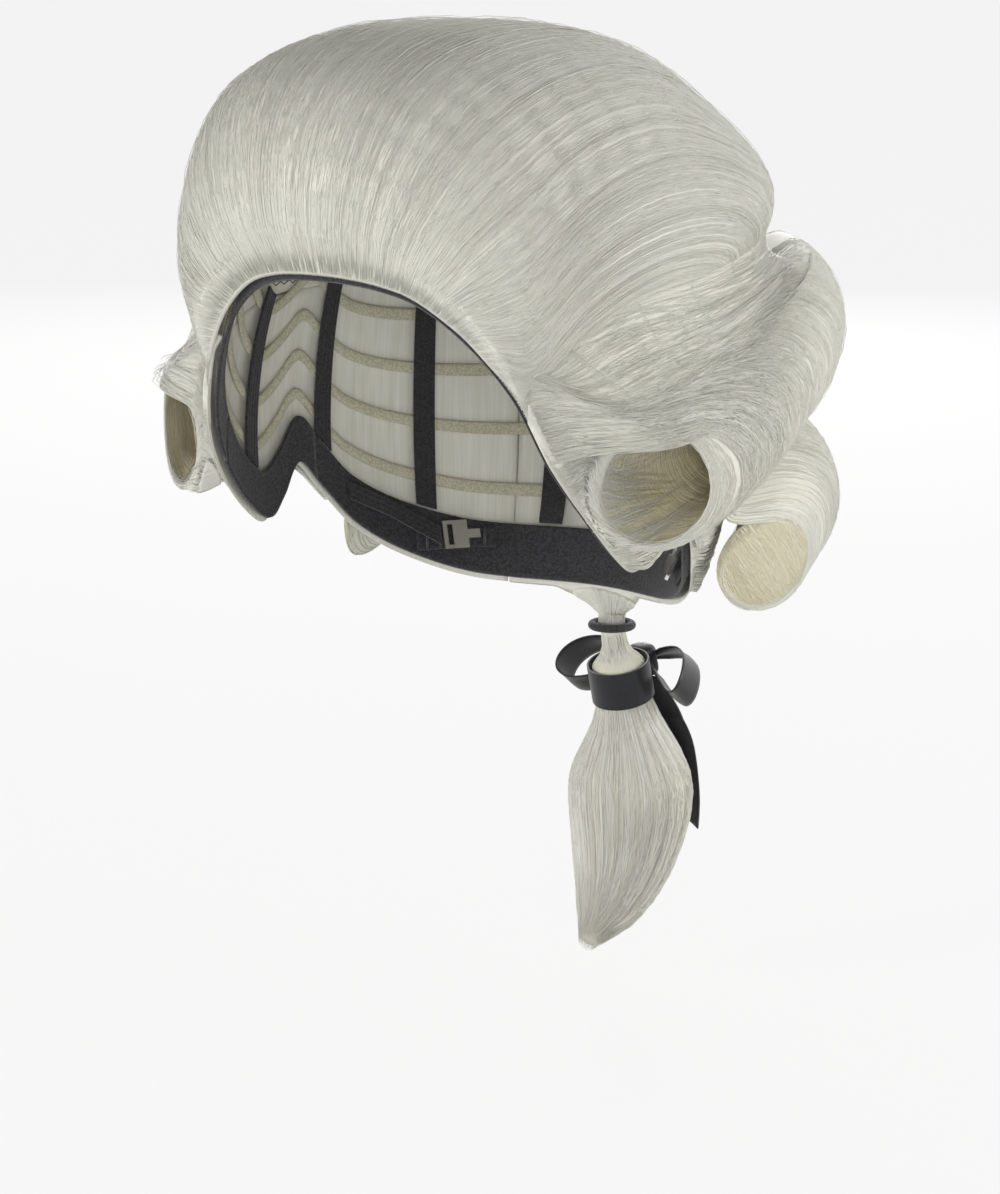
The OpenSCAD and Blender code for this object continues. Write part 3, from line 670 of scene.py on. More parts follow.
def crown_strands(low, high, count, points, kind):
    across, place, lift, tone = locks(count, "crown", 0.15)
    w = even_w(lerp(low, high, across))[:, None]
    if kind == "short":
        length = lerp(0.18, 0.42, rng.random(count))
        start = np.where(rng.random(count) < 0.3, 0, rng.random(count) * (1 - length))
        end = start + length
    elif kind == "under":
        start, end = lerp(0.78, 0.9, rng.random(count)), lerp(0.96, 1, rng.random(count))
    else:
        start, end = rng.random(count) * 0.01, lerp(0.97, 1, rng.random(count))
    x = np.linspace(0, 1, points)
    s = along(start[:, None] + (end - start)[:, None] * x)
    drift = rng.normal(0, 0.004, (count, 1)) * np.sin(np.pi * s)
    loose = (rng.random(count) < 0.04) * rng.random(count) * 1.3
    rise = rises(-0.36, 0.16, 0.06, 0.09, place, lift)
    rise = np.minimum(rise, 0.5) + loose[:, None] * np.sin(np.pi * x)
    tint = tints(0.58, 0.13, count, tone)
    return crown_place(np.clip(w + drift, -1, 1), s, rise), tint


for part, low, high in CROWN_PARTS:
    for kind, count, points in CROWN_KINDS:
        paths, tint = crown_strands(low, high, count, points, kind)
        name = f"crown_strands_{part}_{kind}"
        strand_piece(name, paths, rng.uniform(*STRAND_T["crown"], count), tint, fibre, "cap")
    print("crown strands", part, made_tris[name])

# %% [markdown]
# A rolled curl is one sheet of hair: it leaves its sewn root under the crown's edge,
# goes out over the top of the roll, down the outside and round inside. A ring of
# places across that sheet, outer face, front lip, inner face and rear lip, is carried
# along the sheet. The same ring gives the base skin and every strand.

# %% Curl shapes
CURL_WALL, FRONT_CUT = 5, 1.15
SHEET_N, TURN_N, TURN_ANGLE, TURN_START = 5, 20, 345, 60
CURLS = {
    "upper": dict(angles=(60, 152), z=(1, 46), half_w=(16, 20), half_t=(22, 23), inset=0, perk=3),
    "lower": dict(angles=(114, 159), z=(-37, -14), half_w=(15, 21), half_t=(17, 22), inset=0.7, perk=0)}


def curl_row(kind, s):
    c = CURLS[kind]
    rise = sin_d(90 * s) ** 1.2
    a = lerp(*c["angles"], s)
    z, w, h = (lerp(*c[size], rise) for size in ("z", "half_w", "half_t"))
    z = z + c["perk"] * (1 - ease(s / 0.4))
    root_z = smooth_at(CROWN_TABLE, a) - 4 if kind == "upper" else z + h + 2
    return a, z, w, h, root_z


def curl_r(a, z, w, h):
    near = np.where(z > 0, np.maximum(0, z - 0.8 * h), np.minimum(0, z + 0.8 * h))
    return level_r(a, near) + CURL_IN + w


def curl_mid(kind, s, t):
    a, z, w, h, root_z = curl_row(kind, s)

    def turn_mid(q):
        angle = TURN_START - TURN_ANGLE * q
        f = 1 - 0.34 * np.maximum(0, q * 2 - 1) ** 1.3
        return np.stack(np.broadcast_arrays(
            (w - CURL_WALL / 2) * f * cos_d(angle), (h - CURL_WALL / 2) * f * sin_d(angle)), -1)

    p3 = turn_mid(0.0)
    ahead = unit(turn_mid(0.02) - p3)
    p2 = p3 - ahead * 0.5 * w[..., None]
    root_r = level_r(a, root_z) + CURL_IN + CURL_WALL / 2 - CURLS[kind]["inset"]
    p0 = np.stack([root_r - curl_r(a, z, w, h), root_z - z], -1)
    p1 = p0 + np.stack([lerp(0.25, 0.5, s) * w, lerp(-7, 7, s)], -1)
    sheet = bezier(p0, p1, p2, p3, np.clip(t / SHEET_N, 0, 1)[..., None])
    return np.where((t >= SHEET_N)[..., None], turn_mid(np.maximum(0, t - SHEET_N) / TURN_N), sheet)


def curl_space(kind, s, p):
    """From the curl's own cross-section, out and up from its axis, to a place on the wig."""
    a, z, w, h, _ = curl_row(kind, s)
    cut = FRONT_CUT * np.maximum(0, p[..., 0] + w) * np.maximum(0, 1 - s / 0.5)
    a2 = a + np.degrees(cut / curl_r(a, z, w, h))
    r = curl_r(a2, z, w, h) + p[..., 0]
    return np.stack([r * sin_d(a2), -r * cos_d(a2), z + p[..., 1]], -1)


def curl_point(kind, s, t, off):
    s, t, off = np.broadcast_arrays(np.asarray(s, float), np.asarray(t, float), np.asarray(off, float))
    along = (curl_mid(kind, s, np.minimum(t + 0.1, SHEET_N + TURN_N))
             - curl_mid(kind, s, np.maximum(t - 0.1, 0)))
    out = unit(np.stack([-along[..., 1], along[..., 0]], -1))
    return curl_space(kind, s, curl_mid(kind, s, t) + out * off[..., None])


def curl_skin(kind, ring, t, lift):
    """A place on the curl's skin: ring 0-1 outer face, 1-2 front lip, 2-3 inner face, 3-4 rear lip."""
    ring, t, lift = np.broadcast_arrays(*(np.asarray(x, float) for x in (ring % 4, t, lift)))
    part, f = np.floor(ring), ring % 1
    s = np.select([part == 0, part == 1, part == 2], [1 - f, 0 * f, f], 1.0)
    lean = np.select([part == 0, part == 1, part == 2],
                     [90 + 0 * f, 90 - 180 * f, -90 + 0 * f], -90 + 180 * f)
    half = CURL_WALL / 2 * (1 - 0.35 * np.maximum(0, t - SHEET_N) / TURN_N)
    thin = 1 - 0.8 * (1 - ease(s / 0.16))
    half = np.where(lean < 0, half * thin, half) + lift
    end = np.where(part == 1, 0.0, 1.0)
    step = np.where(part == 1, 0.02, 0.98)
    axis = unit(curl_point(kind, step, t, 0) - curl_point(kind, end, t, 0))
    round_end = CURL_WALL / 2 * 0.6 + lift
    return curl_point(kind, s, t, half * sin_d(lean)) - axis * (round_end * cos_d(lean))[..., None]


def curl_base(kind, rings, steps, lift):
    """Ring places down the sheet: rows go along the sheet, columns round the ring."""
    t, ring = grid(steps, rings)
    return curl_skin(kind, ring, t, lift)


print("upper curl opens at, mm:", np.round(curl_point("upper", 0.0, 12.0, 0.0), 1))

# %% [markdown]
# The mass of a curl is one closed skin of rings, made once and mirrored for the other
# side. The strands run the way the hair is rolled. A spiral with a bevel could show one
# roll, but not the lips, the open end and the slant of the real one.

# %% Curl masses and strands
CURL_RINGS = np.concatenate([
    np.linspace(0, 1, 40, endpoint=False), np.linspace(1, 2, 9, endpoint=False),
    np.linspace(2, 3, 40, endpoint=False), np.linspace(3, 4, 9, endpoint=False)])
CURL_STEPS = np.linspace(0, SHEET_N + TURN_N, 90)
CURL_COUNT = {"upper": 2400, "lower": 1100}
CURL_POINTS, CURL_SEAM = 10, 94
# Shares of the strands on the outer face, front lip, inner face and rear lip.
FACE_SHARES = (0.54, 0.12, 0.27, 0.07)


def curl_strands(kind, count):
    face = np.repeat([0, 1, 2, 3], np.round(np.array(FACE_SHARES) * count).astype(int))[:count]
    count = len(face)
    across, place, lift, tone = locks(count, "curl", 0.15)
    f = np.where((face == 1) | (face == 3), rng.random(count),
                 np.where(face == 2, rng.random(count) ** 2.4, across))
    total = SHEET_N + TURN_N
    length = lerp(6, 10, rng.random(count))
    start = np.clip(rng.random(count) * (total + 4) - 4, 0, total - length)
    t = start[:, None] + length[:, None] * np.linspace(0, 1, CURL_POINTS)
    slant = np.where(face == 0, 0.14, 0.0)[:, None] * (1 - ease(t / 9))
    wander = rng.normal(0, 0.012, (count, 1)) * np.linspace(-1, 1, CURL_POINTS)
    ring = face[:, None] + np.clip(f[:, None] + slant + wander, 0.002, 0.998)
    loose = (rng.random(count) < 0.04) * rng.random(count) * 1.2
    rise = rises(-0.34, 0.16, 0.06, 0.09, place, lift)
    rise = np.minimum(rise, 0.4) + loose[:, None] * np.sin(np.pi * np.linspace(0, 1, CURL_POINTS))
    tint = tints(0.58, 0.13, count, tone)
    return curl_skin(kind, ring, t, rise), tint, face == 2


curl_mass = mass_finish("packed curl fibre", ("#d9d8ca", "#e3e2d6", "#ecebe2"), 320, 0.25)
tree, shader = curl_mass.node_tree, curl_mass.node_tree.nodes["Principled BSDF"]
# Inside the roll less light gets in, and what does is warmed on its way from fibre to fibre.
outer = shader.inputs["Base Color"].links[0].from_socket
uv = add_node(tree, "ShaderNodeUVMap", uv_map=UV_NAME)
part = add_node(tree, "ShaderNodeSeparateXYZ", {0: uv.outputs[0]})
inner = add_node(
    tree, "ShaderNodeValToRGB", {"Fac": part.outputs[0]},
    [(0.44, "#ffffff"), (0.52, "#f4eacb"), (0.9, "#f4eacb"), (0.93, "#ffffff")])
warm = add_node(tree, "ShaderNodeMix", {0: 1.0, 6: outer, 7: inner.outputs["Color"]},
                data_type="RGBA", blend_type="MULTIPLY")
tree.links.new(warm.outputs[2], shader.inputs["Base Color"])
for kind in CURLS:
    base = curl_base(kind, CURL_RINGS, CURL_STEPS, -0.4)
    paths, tint, inside = curl_strands(kind, CURL_COUNT[kind])
    thick = rng.uniform(*STRAND_T["curl"], len(paths))
    for side, turned in SIDES:
        node = f"{side}_{kind}_curl"
        mass = ring_piece(f"{node}_mass", turned(base), curl_mass, node, "hair", seam=CURL_SEAM)
        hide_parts(node)
        # Strands on the inner face of the roll take the fibre with painted warm shade.
        for name, some, finish in (("strands", ~inside, fibre), ("inner_strands", inside, painted_shade_fibre)):
            strand_piece(f"{node}_{name}", turned(paths)[some], thick[some], tint[some], finish, node)
    print(kind, "curl", made_tris[f"left_{kind}_curl_strands"])

# %% [markdown]
# At the temple the hair is combed from the hairline back onto the upper curl, so no
# step shows between them. These strands start on the cap, cross to the curl's front
# edge and run on round its outside.

# %% Temple hair
TEMPLE_COUNT, TEMPLE_POINTS = 850, 11
LIP_COUNT, LIP_POINTS, MOUTH_COUNT, MOUTH_POINTS = 500, 10, 260, 12
# Share of a temple strand that crosses to the curl, and how near to its edge it lands.
TEMPLE_CROSS, NEAR_EDGE = 0.4, 0.002


def hair_root(a0, lift):
    """A place on the hairline, with the way that the temple hair is combed there."""
    root = on_head(a0, rim_p(a0) - degrees_of(0.5), HAIR_IN + 0.6 + lift)
    ahead = (on_head(a0 + 3, rim_p(a0) - degrees_of(1.5), HAIR_IN + 2.6)
             - on_head(a0, rim_p(a0), HAIR_IN + 0.6))
    return root, unit(ahead)


def crossing(root, way0, edge, way1, u):
    """A curve that leaves the root one way and meets the edge another way."""
    gap = np.linalg.norm(edge - root, axis=-1, keepdims=True) * 0.4
    return bezier(root, root + way0 * gap, edge - way1 * gap, edge, np.clip(u, 0, 1)[..., None])


def temple_path(h, x, lift):
    """h goes down the hairline, x from the hairline (0) over the curl's edge (0.4) and round it (1)."""
    h, x, lift = np.broadcast_arrays(np.clip(h, 0, 1), x, lift)
    root, way0 = hair_root(lerp(40, 53, h), lift - 1.2 * (1 - ease(h / 0.25)))
    t0 = lerp(0.3, 5.8, h)
    span, run = lerp(0.9, 0.1, h**0.6), lerp(4, 12, h)
    edge = curl_skin("upper", 1 - NEAR_EDGE, t0, 0.2 + lift)
    way1 = unit(curl_skin("upper", 1 - 0.05, t0, 0.2) - edge)
    y = np.clip((x - TEMPLE_CROSS) / (1 - TEMPLE_CROSS), 0, 1)
    on_curl = curl_skin("upper", 1 - np.maximum(NEAR_EDGE, span * (1 - (1 - y) ** 2)),
                        t0 + run * y**1.6, 0.2 + lift)
    return np.where(
        (x <= TEMPLE_CROSS)[..., None], crossing(root, way0, edge, way1, x / TEMPLE_CROSS), on_curl)


# Lower down, the hair runs over the curl's inner lip and into its open end. A few long
# ones go on round the inside of the roll.
INWARD = {
    "lip": dict(roots=(47.5, 65), starts=(24.5, 15.0), runs=(3.5, 2.0), cross=0.45, rings=(1.3, 2.35),
                bends=(1, 1), stand=0.2, fan=1),
    "mouth": dict(roots=(46, 55), starts=(25, 20), runs=(8, 5), cross=0.4, rings=(1.4, 2.2),
                  bends=(0.8, 1.3), stand=0.3, fan=1.2)}


def inward_path(kind):
    c = INWARD[kind]
    cross, stand, ring = c["cross"], c["stand"], c["rings"][0]

    def path(h, x, lift):
        h, x, lift = np.broadcast_arrays(np.clip(h, 0, 1), x, lift)
        root, way0 = hair_root(lerp(*c["roots"], h), lift)
        t0, run = lerp(*c["starts"], h), lerp(*c["runs"], h)
        edge = curl_skin("upper", ring, t0, stand + lift)
        way1 = unit(curl_skin("upper", ring + 0.15, t0, 0.2) - curl_skin("upper", ring - 0.15, t0, 0.2))
        y = np.clip((x - cross) / (1 - cross), 0, 1)
        inside = curl_skin("upper", lerp(*c["rings"], y ** c["bends"][0]), t0 - run * y ** c["bends"][1],
                           stand + c["fan"] * lift)
        return np.where((x <= cross)[..., None], crossing(root, way0, edge, way1, x / cross), inside)

    return path


def combed(path, count, points):
    across, place, lift, tone = locks(count, "temple", 0.15)
    reach = lerp(0.55, 1.0, rng.random((count, 1)))
    rise = rises(0, 0.15, 0.08, 0.14, place, lift)
    loose = ((rng.random(count) < 0.06) * rng.random(count) * 2)[:, None]
    x = np.linspace(0, 1, points)[None, :]
    bent = across[:, None] + rng.normal(0, 0.012, (count, 1)) * x
    tint = tints(0.58, 0.13, count, tone)
    return path(bent, x * reach, rise + loose * np.sin(np.pi * x)), tint


def sheet_pair(path, last, thick):
    h, x = grid(np.linspace(0, 1, 44), np.linspace(0, last, 30))
    high = path(h, x, -0.25)
    out = unit(np.cross(np.gradient(high, axis=0), np.gradient(high, axis=1)))
    out *= np.sign((out * high).sum(-1, keepdims=True))
    return high, high - thick * out


lip_path, mouth_path = inward_path("lip"), inward_path("mouth")
temple_skin, lip_skin = sheet_pair(temple_path, 0.5, 1.2), sheet_pair(lip_path, 0.7, 0.8)
temple, temple_tint = combed(temple_path, TEMPLE_COUNT, TEMPLE_POINTS)
lip, lip_tint = combed(lip_path, LIP_COUNT, LIP_POINTS)
mouth, mouth_tint = combed(mouth_path, MOUTH_COUNT, MOUTH_POINTS)
bend = [temple_path(np.array(0.5), np.array(x), 0.0) * MM for x in (0.05, TEMPLE_CROSS)]
for side, turned in SIDES:
    pieces = [
        skin_piece(f"{side}_temple_mass", *(turned(g) for g in temple_skin), hair_mass, None, "hair"),
        skin_piece(f"{side}_lip_mass", *(turned(g) for g in lip_skin), hair_mass, None, "hair"),
        strand_piece(f"{side}_temple_strands", turned(temple), STRAND_T["temple"], temple_tint, fibre, None),
        strand_piece(f"{side}_lip_strands", turned(lip), STRAND_T["lip"], lip_tint, fibre, None),
        strand_piece(f"{side}_mouth_strands", turned(mouth), STRAND_T["mouth"], mouth_tint, fibre, None)]
    for piece in pieces:
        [Vector(turned(b)) for b in bend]
        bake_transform(piece)
print("temple hair", made_tris["left_temple_strands"])

# %% [markdown]
# Between the crown's lower edge and the curl the hair lies in a soft hollow, combed
# back along it. It is deepest at the temple, where a few stray fibres cross it. It is
# made in short pieces.

# %% Hair in the hollow
# It starts a little before the curl's front end and runs to its rear end, in seven pieces.
HOLLOW_START, HOLLOW_COUNT, HOLLOW_POINTS, HOLLOW_T = -0.16, 165, 9, 1.2
HOLLOW_EDGES = np.linspace(HOLLOW_START, 1, 8)
CROWN_EDGE = 0.955


def hollow_place(s, u, lift):
    """Across the hollow: u is 0 under the crown's edge and 1 on top of the curl or the temple hair."""
    s, u, lift = np.broadcast_arrays(np.clip(s, HOLLOW_START, 1), np.clip(u, 0, 1), lift)
    q, back = np.maximum(0, 1 - np.minimum(s, 0) / HOLLOW_START), np.maximum(s, 0)
    a = lerp(*CURLS["upper"]["angles"], s) - 4
    edge = on_head(a, CROWN_EDGE * crown_p(a), HAIR_IN + crown_h(a, CROWN_EDGE + 0 * a) - 0.5)
    on_roll, ring = (s >= 0)[..., None], (1 - NEAR_EDGE) * (1 - back)
    curl = np.where(on_roll, curl_skin("upper", ring, lerp(3.6, 5.0, back), -0.25),
                    temple_path(0.6 * q, TEMPLE_CROSS * q, -0.45))
    deep = np.where(on_roll, curl_skin("upper", ring, 1.0 + 0 * back, 0.0),
                    temple_path(0.127 * q, TEMPLE_CROSS * q, -0.6))
    depth = lerp(lerp(0.2, 0.75, ease((s + 0.07) / 0.16)), 0.55, ease((s - 0.15) / 0.3))
    low = lerp((edge + curl) / 2, deep, depth[..., None])
    out = unit(edge * np.array([1, 1, 0]) + np.array([0, 0, 40]))
    u = u[..., None]
    place = (1 - u) ** 2 * edge + 2 * u * (1 - u) * low + u**2 * curl
    return lerp(place, deep, 0.97 * ease((s - 0.8) / 0.2)[..., None]) + out * lift[..., None]


def hollow_strands(low, high):
    size = (HOLLOW_COUNT, 1)
    s0 = rng.uniform(low - 0.1, high - 0.05, size)
    x = np.linspace(0, 1, HOLLOW_POINTS)[None, :]
    s = s0 + lerp(0.15, 0.4, rng.random(size)) * x
    u = rng.uniform(0.0, 0.95, size) + lerp(0.0, 0.3, rng.random(size)) * x
    loose = (rng.random(size) < 0.08) * rng.random(size) * 1.5
    return hollow_place(s, u, rng.normal(0.1, 0.14, size) + loose * np.sin(np.pi * x))


for part, (low, high) in enumerate(zip(HOLLOW_EDGES[:-1] - 0.004, HOLLOW_EDGES[1:] + 0.004), 1):
    s_grid, u_grid = grid(np.linspace(low, high, 16), np.linspace(0, 1, 14))
    top = hollow_place(s_grid, u_grid, 0.0)
    bottom = hollow_place(s_grid, u_grid, -HOLLOW_T)
    paths = hollow_strands(low, high)
    tint = tints(0.52, 0.15, HOLLOW_COUNT)
    mid = (low + high) / 2
    start, end, ahead, after = (hollow_place(np.array(s), np.array(u), 0.0) for s, u in
                                ((mid, 0.05), (mid, 0.95), (mid + 0.04, 0.5), (mid - 0.04, 0.5)))
    way = unit(ahead - after)
    bend = [start * MM, (end - way * np.dot(end - start, way)) * MM]
    for side, turned in SIDES:
        pieces = [
            skin_piece(f"{side}_hollow_mass_{part}", turned(top), turned(bottom), hair_mass, None, "hair"),
            strand_piece(f"{side}_hollow_strands_{part}", turned(paths), STRAND_T["hollow"],
                         tint, fibre, None)]
        for piece in pieces:
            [Vector(turned(b)) for b in bend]
            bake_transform(piece)
print("hollow", made_tris["left_hollow_strands_1"])

# %% [markdown]
# The front end of a lower curl is closed by the tips of its own hair. They make a
# shallow dome of cream fibre, combed across on a slant. It is a skin of rings from the
# middle to the wall, with nearly parallel strands laid over it.

# %% Closed ends of the lower curls
COIL_COUNT, COIL_POINTS, COIL_INSET, COIL_DOME, COIL_T = 360, 9, 1.3, 2.6, 2.0


def coil_place(f, turn, lift):
    """On the domed face that closes the lower curl: f is 1 at the wall and 0 in the middle."""
    f, turn, lift = np.broadcast_arrays(np.asarray(f, float), turn, lift)
    front = 0.002 + 0 * f
    _, _, w, h, _ = curl_row("lower", front)
    face = curl_space("lower", front, np.stack(
        [f * (w - COIL_INSET) * cos_d(turn), f * (h - COIL_INSET) * sin_d(turn)], -1))
    middle = np.zeros(2)
    axis = unit(curl_space("lower", np.array(0.002), middle) - curl_space("lower", np.array(0.03), middle))
    return face + axis * (0.6 + COIL_DOME * (1 - f**2) + lift)[..., None]


turns = np.arange(0, 360, 9.0)
rows = [coil_place(0 * turns + f, turns, -COIL_T) for f in (0.06, 0.5, 1.0)]
rows += [coil_place(0 * turns + f, turns, 0) for f in (1.0, 0.9, 0.7, 0.5, 0.3, 0.15, 0.05)]
offset = rng.uniform(-0.97, 0.97, (COIL_COUNT, 1))
x = np.linspace(-1, 1, COIL_POINTS)[None, :] * np.sqrt(1 - offset**2) * 0.98
bow = offset + 0.14 * (1 - x**2) * (1 - np.abs(offset))
swing = np.radians(rng.normal(-58, 7, (COIL_COUNT, 1)))
flat_x, flat_y = x * np.cos(swing) - bow * np.sin(swing), x * np.sin(swing) + bow * np.cos(swing)
coil = coil_place(np.minimum(np.hypot(flat_x, flat_y), 1.0), np.degrees(np.arctan2(flat_y, flat_x)),
                  rng.normal(0.15, 0.1, (COIL_COUNT, 1)))
# The strands of the closed ends take darker tints, also painted shade.
coil_tint = tints(0.45, 0.14, COIL_COUNT)
# The closed ends are painted creamier and a little darker than the combed hair: painted shade of the roll's
# end.
coil_mass = mass_finish("packed tips with painted shade", ("#cbc7ad", "#d5d1b9", "#dedbc8"), 80, 0.2)
for side, turned in SIDES:
    node = f"{side}_lower_curl"
    ring_piece(f"{side}_lower_coil_mass", turned(np.array(rows)), coil_mass, node, "hair")
    strand_piece(f"{side}_lower_coil_strands", turned(coil), STRAND_T["coil"], coil_tint, painted_shade_fibre, node)
print("closed ends made")

# %% [markdown]
# Along the rim short hair hides the edge of the cap. It stands up at the front and is
# combed back at the temples. Roots are scattered along the rim, and five points are
# enough for each hair, because it is nearly straight.

# %% Hairline
def hairline_strands(a0, length):
    """Short hair rooted on the rim: upright at the front, combed back at the temples."""
    count = len(a0)
    backward = ease((np.abs(a0) - 34) / 14)
    length = length[:, None]
    x = np.linspace(0, 1, 5)[None, :]
    lean = rng.normal(0, 0.22, count)
    across = (np.sign(a0) * backward + lean * (1 - backward))[:, None] * length * x
    up = ((1 - 0.8 * backward) + rng.normal(0, 0.15, count) * backward)[:, None] * length * x
    a = a0[:, None] + degrees_of(across)
    p = rim_p(a0)[:, None] + degrees_of(0.3 - up)
    out = np.abs(rng.normal(0.9, 0.5, count))[:, None] * np.sqrt(x) * length * 0.22
    t = np.clip(p / crown_p(a), 0, 1)
    cover = np.where((crown_p(a) - p > 0) & (np.abs(a) < 46), crown_h(a, t), 1.8)
    return on_head(a, p, HAIR_IN + 0.3 + np.minimum(out, cover + 1.0))


FRONT_COUNT, TEMPLE_EDGE = 1100, 1200
roots = np.concatenate([rng.uniform(-66, 66, FRONT_COUNT),
                        rng.uniform(40, 64, TEMPLE_EDGE) * rng.choice([-1, 1], TEMPLE_EDGE)])
edge = hairline_strands(roots, rng.uniform(5, 15, len(roots)))
strand_piece("hairline_strands", edge, STRAND_T["hairline"], tints(0.5, 0.2, len(edge)), fibre, "cap")
print("hairline", made_tris["hairline_strands"])

# %% [markdown]
# Below the crown lies a flat layer of hair. At the temple it is combed back from the
# hairline, and behind the ear tab it runs back and down to the nape, under the curls.
# It is a skin that keeps close to the cap, with strands that start on the rim.

# %% Side hair
SIDE_FRONT, SIDE_BACK = 48, 156
SLACK = degrees_of(LAYER_GAP)
SIDE_COUNT, REAR_COUNT, SIDE_POINTS = 550, 480, 9


def side_place(a, t, lift):
    return on_head(a, lerp(crown_p(a) + SLACK, rim_p(a) + SLACK, t), HAIR_IN + lift)


def side_depth(t):
    return 0.2 + (UNDER_H - 0.8) * ease((1 - t) * 5)


def side_strands(count):
    """Combed back from the hairline: each strand starts on the rim and climbs a little."""
    across, place, lift, tone = locks(count, "side", 0.2)
    a0 = lerp(SIDE_FRONT - 2, 128, across)[:, None]
    u = np.linspace(0, 1, SIDE_POINTS)[None, :]
    run = lerp(30, 52, rng.random((count, 1)))
    a = np.minimum(a0 + run * u, SIDE_BACK)
    climb = lerp(16, -4, ease((a0 - 50) / 50))
    z = smooth_at(RIM_TABLE, a0) + climb * ease(u) + rng.normal(0, 0.5, (count, 1)) * u + 0.5
    top = smooth_at(CROWN_TABLE, a) - 1
    rim = smooth_at(RIM_TABLE, a)
    z = np.minimum(np.maximum(z, rim + 0.3), np.maximum(top, rim + 0.4))
    rise = rises(UNDER_H - 0.5, 0.5, 0.1, 0.15, place, lift)
    p = polar_of(a, z)
    tint = tints(0.5, 0.16, count, tone, 0.3)
    return on_head(a, p, HAIR_IN + rise * ease(u * 6 + 0.25)), tint


def rear_strands(count):
    """Behind the curls the hair falls from the crown's edge and draws in to the nape."""
    across, place, lift, tone = locks(count, "rear", 0.15)
    u = np.linspace(0, 1, SIDE_POINTS)[None, :]
    t = u * lerp(0.8, 1.0, rng.random((count, 1)))
    a = np.minimum(lerp(112, SIDE_BACK, across)[:, None] + 14 * t**1.5, SIDE_BACK)
    rise = rises(0, 0.15, 0.06, 0.1, place, lift)
    tint = tints(0.56, 0.14, count, tone, 0.22)
    return side_place(a, t, side_depth(t) + 0.1 + rise), tint


a_grid, t_grid = grid(np.linspace(SIDE_FRONT, SIDE_BACK, 80), np.linspace(0, 1, 26))
paths, tint = side_strands(SIDE_COUNT)
rear, rear_tint = rear_strands(REAR_COUNT)
for side, turned in SIDES:
    node = f"{side}_side_hair"
    mass = skin_piece(f"{node}_mass", turned(side_place(a_grid, t_grid, side_depth(t_grid))),
                      turned(side_place(a_grid, t_grid, 0)), hair_mass, "cap", "hair")
    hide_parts(node)
    strand_piece(f"{node}_strands", turned(paths), STRAND_T["side"], tint, fibre, "cap")
    strand_piece(f"{side}_rear_strands", turned(rear), STRAND_T["rear"], rear_tint, fibre, "cap")
print("side hair", made_tris["left_side_hair_strands"])

# %% [markdown]
# The back hair comes down from the crown between the curls, draws in towards the
# nape and is gathered by a small hair tie. The gather is a skin of rings that narrow
# from the nape to the tie, and the back strands run down over it to the same neck.

# %% Back and nape hair
BACK_HALF = 180 - SIDE_BACK - degrees_of(LAYER_GAP)
TIE = np.array([0.0, 90.0, -75.0])
GATHER_R, NAPE_HALF = 5, 8
BACK_COUNT, PANEL_COUNT, NAPE_COUNT = 1050, 600, 420


def back_place(u, t, lift):
    a = 180 + u * BACK_HALF
    p = lerp(crown_p(a) + SLACK, rim_p(a), t)
    fall = np.maximum(cos_d(90 * np.clip(u * lerp(1, 2, t), -1, 1)), 0) ** 0.8
    depth = UNDER_H + (BACK_H - UNDER_H) * fall * lerp(0.8, 1, t)
    return on_head(a, p, HAIR_IN + np.maximum(0.2, depth + lift))


def tie_ring(r, turns, z):
    """Places round the tie's upright axis."""
    return TIE + np.stack(np.broadcast_arrays(r * cos_d(turns), r * sin_d(turns), z), -1)


def gather_ring(turns, u, grow):
    """Rings from the back hair's end (u = 0) to the neck of the gather (u = 1)."""
    a = 180 - NAPE_HALF * cos_d(turns)
    top = on_head(a, rim_p(a) + SLACK, HAIR_IN + BACK_H / 2 * (1 + 0.9 * sin_d(turns)))
    return lerp(top, tie_ring(GATHER_R - 0.6 + grow, turns, GATHER_R - 1), u)


u_grid, t_grid = grid(np.linspace(-1, 1, 40), np.linspace(0, 1, 40))
a_grid = 180 + u_grid * BACK_HALF
back_mass = skin_piece(
    "back_hair_mass", back_place(u_grid, t_grid, -0.5),
    on_head(a_grid, lerp(crown_p(a_grid) + SLACK, rim_p(a_grid), t_grid), HAIR_IN), hair_mass, "cap", "hair")
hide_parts("back_hair")

turns = np.arange(0, 360, 7.5)
rows = [gather_ring(turns, u, -0.3) for u in np.linspace(0, 1, 8)]
rows += [tie_ring((GATHER_R - 0.3) * cos_d(lean), turns, GATHER_R * sin_d(lean))
         for lean in np.linspace(48, -80, 9)]
nape_mass = ring_piece("nape_hair_mass", np.array(rows), hair_mass, "cap", "hair")
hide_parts("nape_hair")

across, place, lift, tone = locks(BACK_COUNT, "back", 0.2)
u = (across * 2 - 1)[:, None]
t = np.linspace(0, 1, 11)[None, :] * lerp(0.88, 0.96, u**2)
rise = rises(-0.4, 0.3, 0.08, 0.11, place, lift)
down = back_place(u * lerp(1, 0.36, t**1.4), t, rise)
swing = 90 + 86 * u[:, 0]
# All the strands draw in to the same neck. Some run on through the tie, and the others
# sink away just above it.
through = rng.random(BACK_COUNT) < 0.25
deep = rng.uniform(0, 0.5, BACK_COUNT)
neck = [tie_ring(np.where(through, r, sunk) - deep, swing, z) for r, z, sunk in
        ((7.4, 12.5, 7.2), (5.4, 7.5, 5.1), (4.7, 3.0, 4.2), (4.6, 0.9, 2.9))]
paths = np.concatenate([down, np.stack(neck, 1)], 1)
tint = tints(0.56, 0.14, BACK_COUNT, tone, 0.22)
strand_piece("back_hair_strands", paths, rng.uniform(*STRAND_T["back"], BACK_COUNT), tint, fibre, "cap")
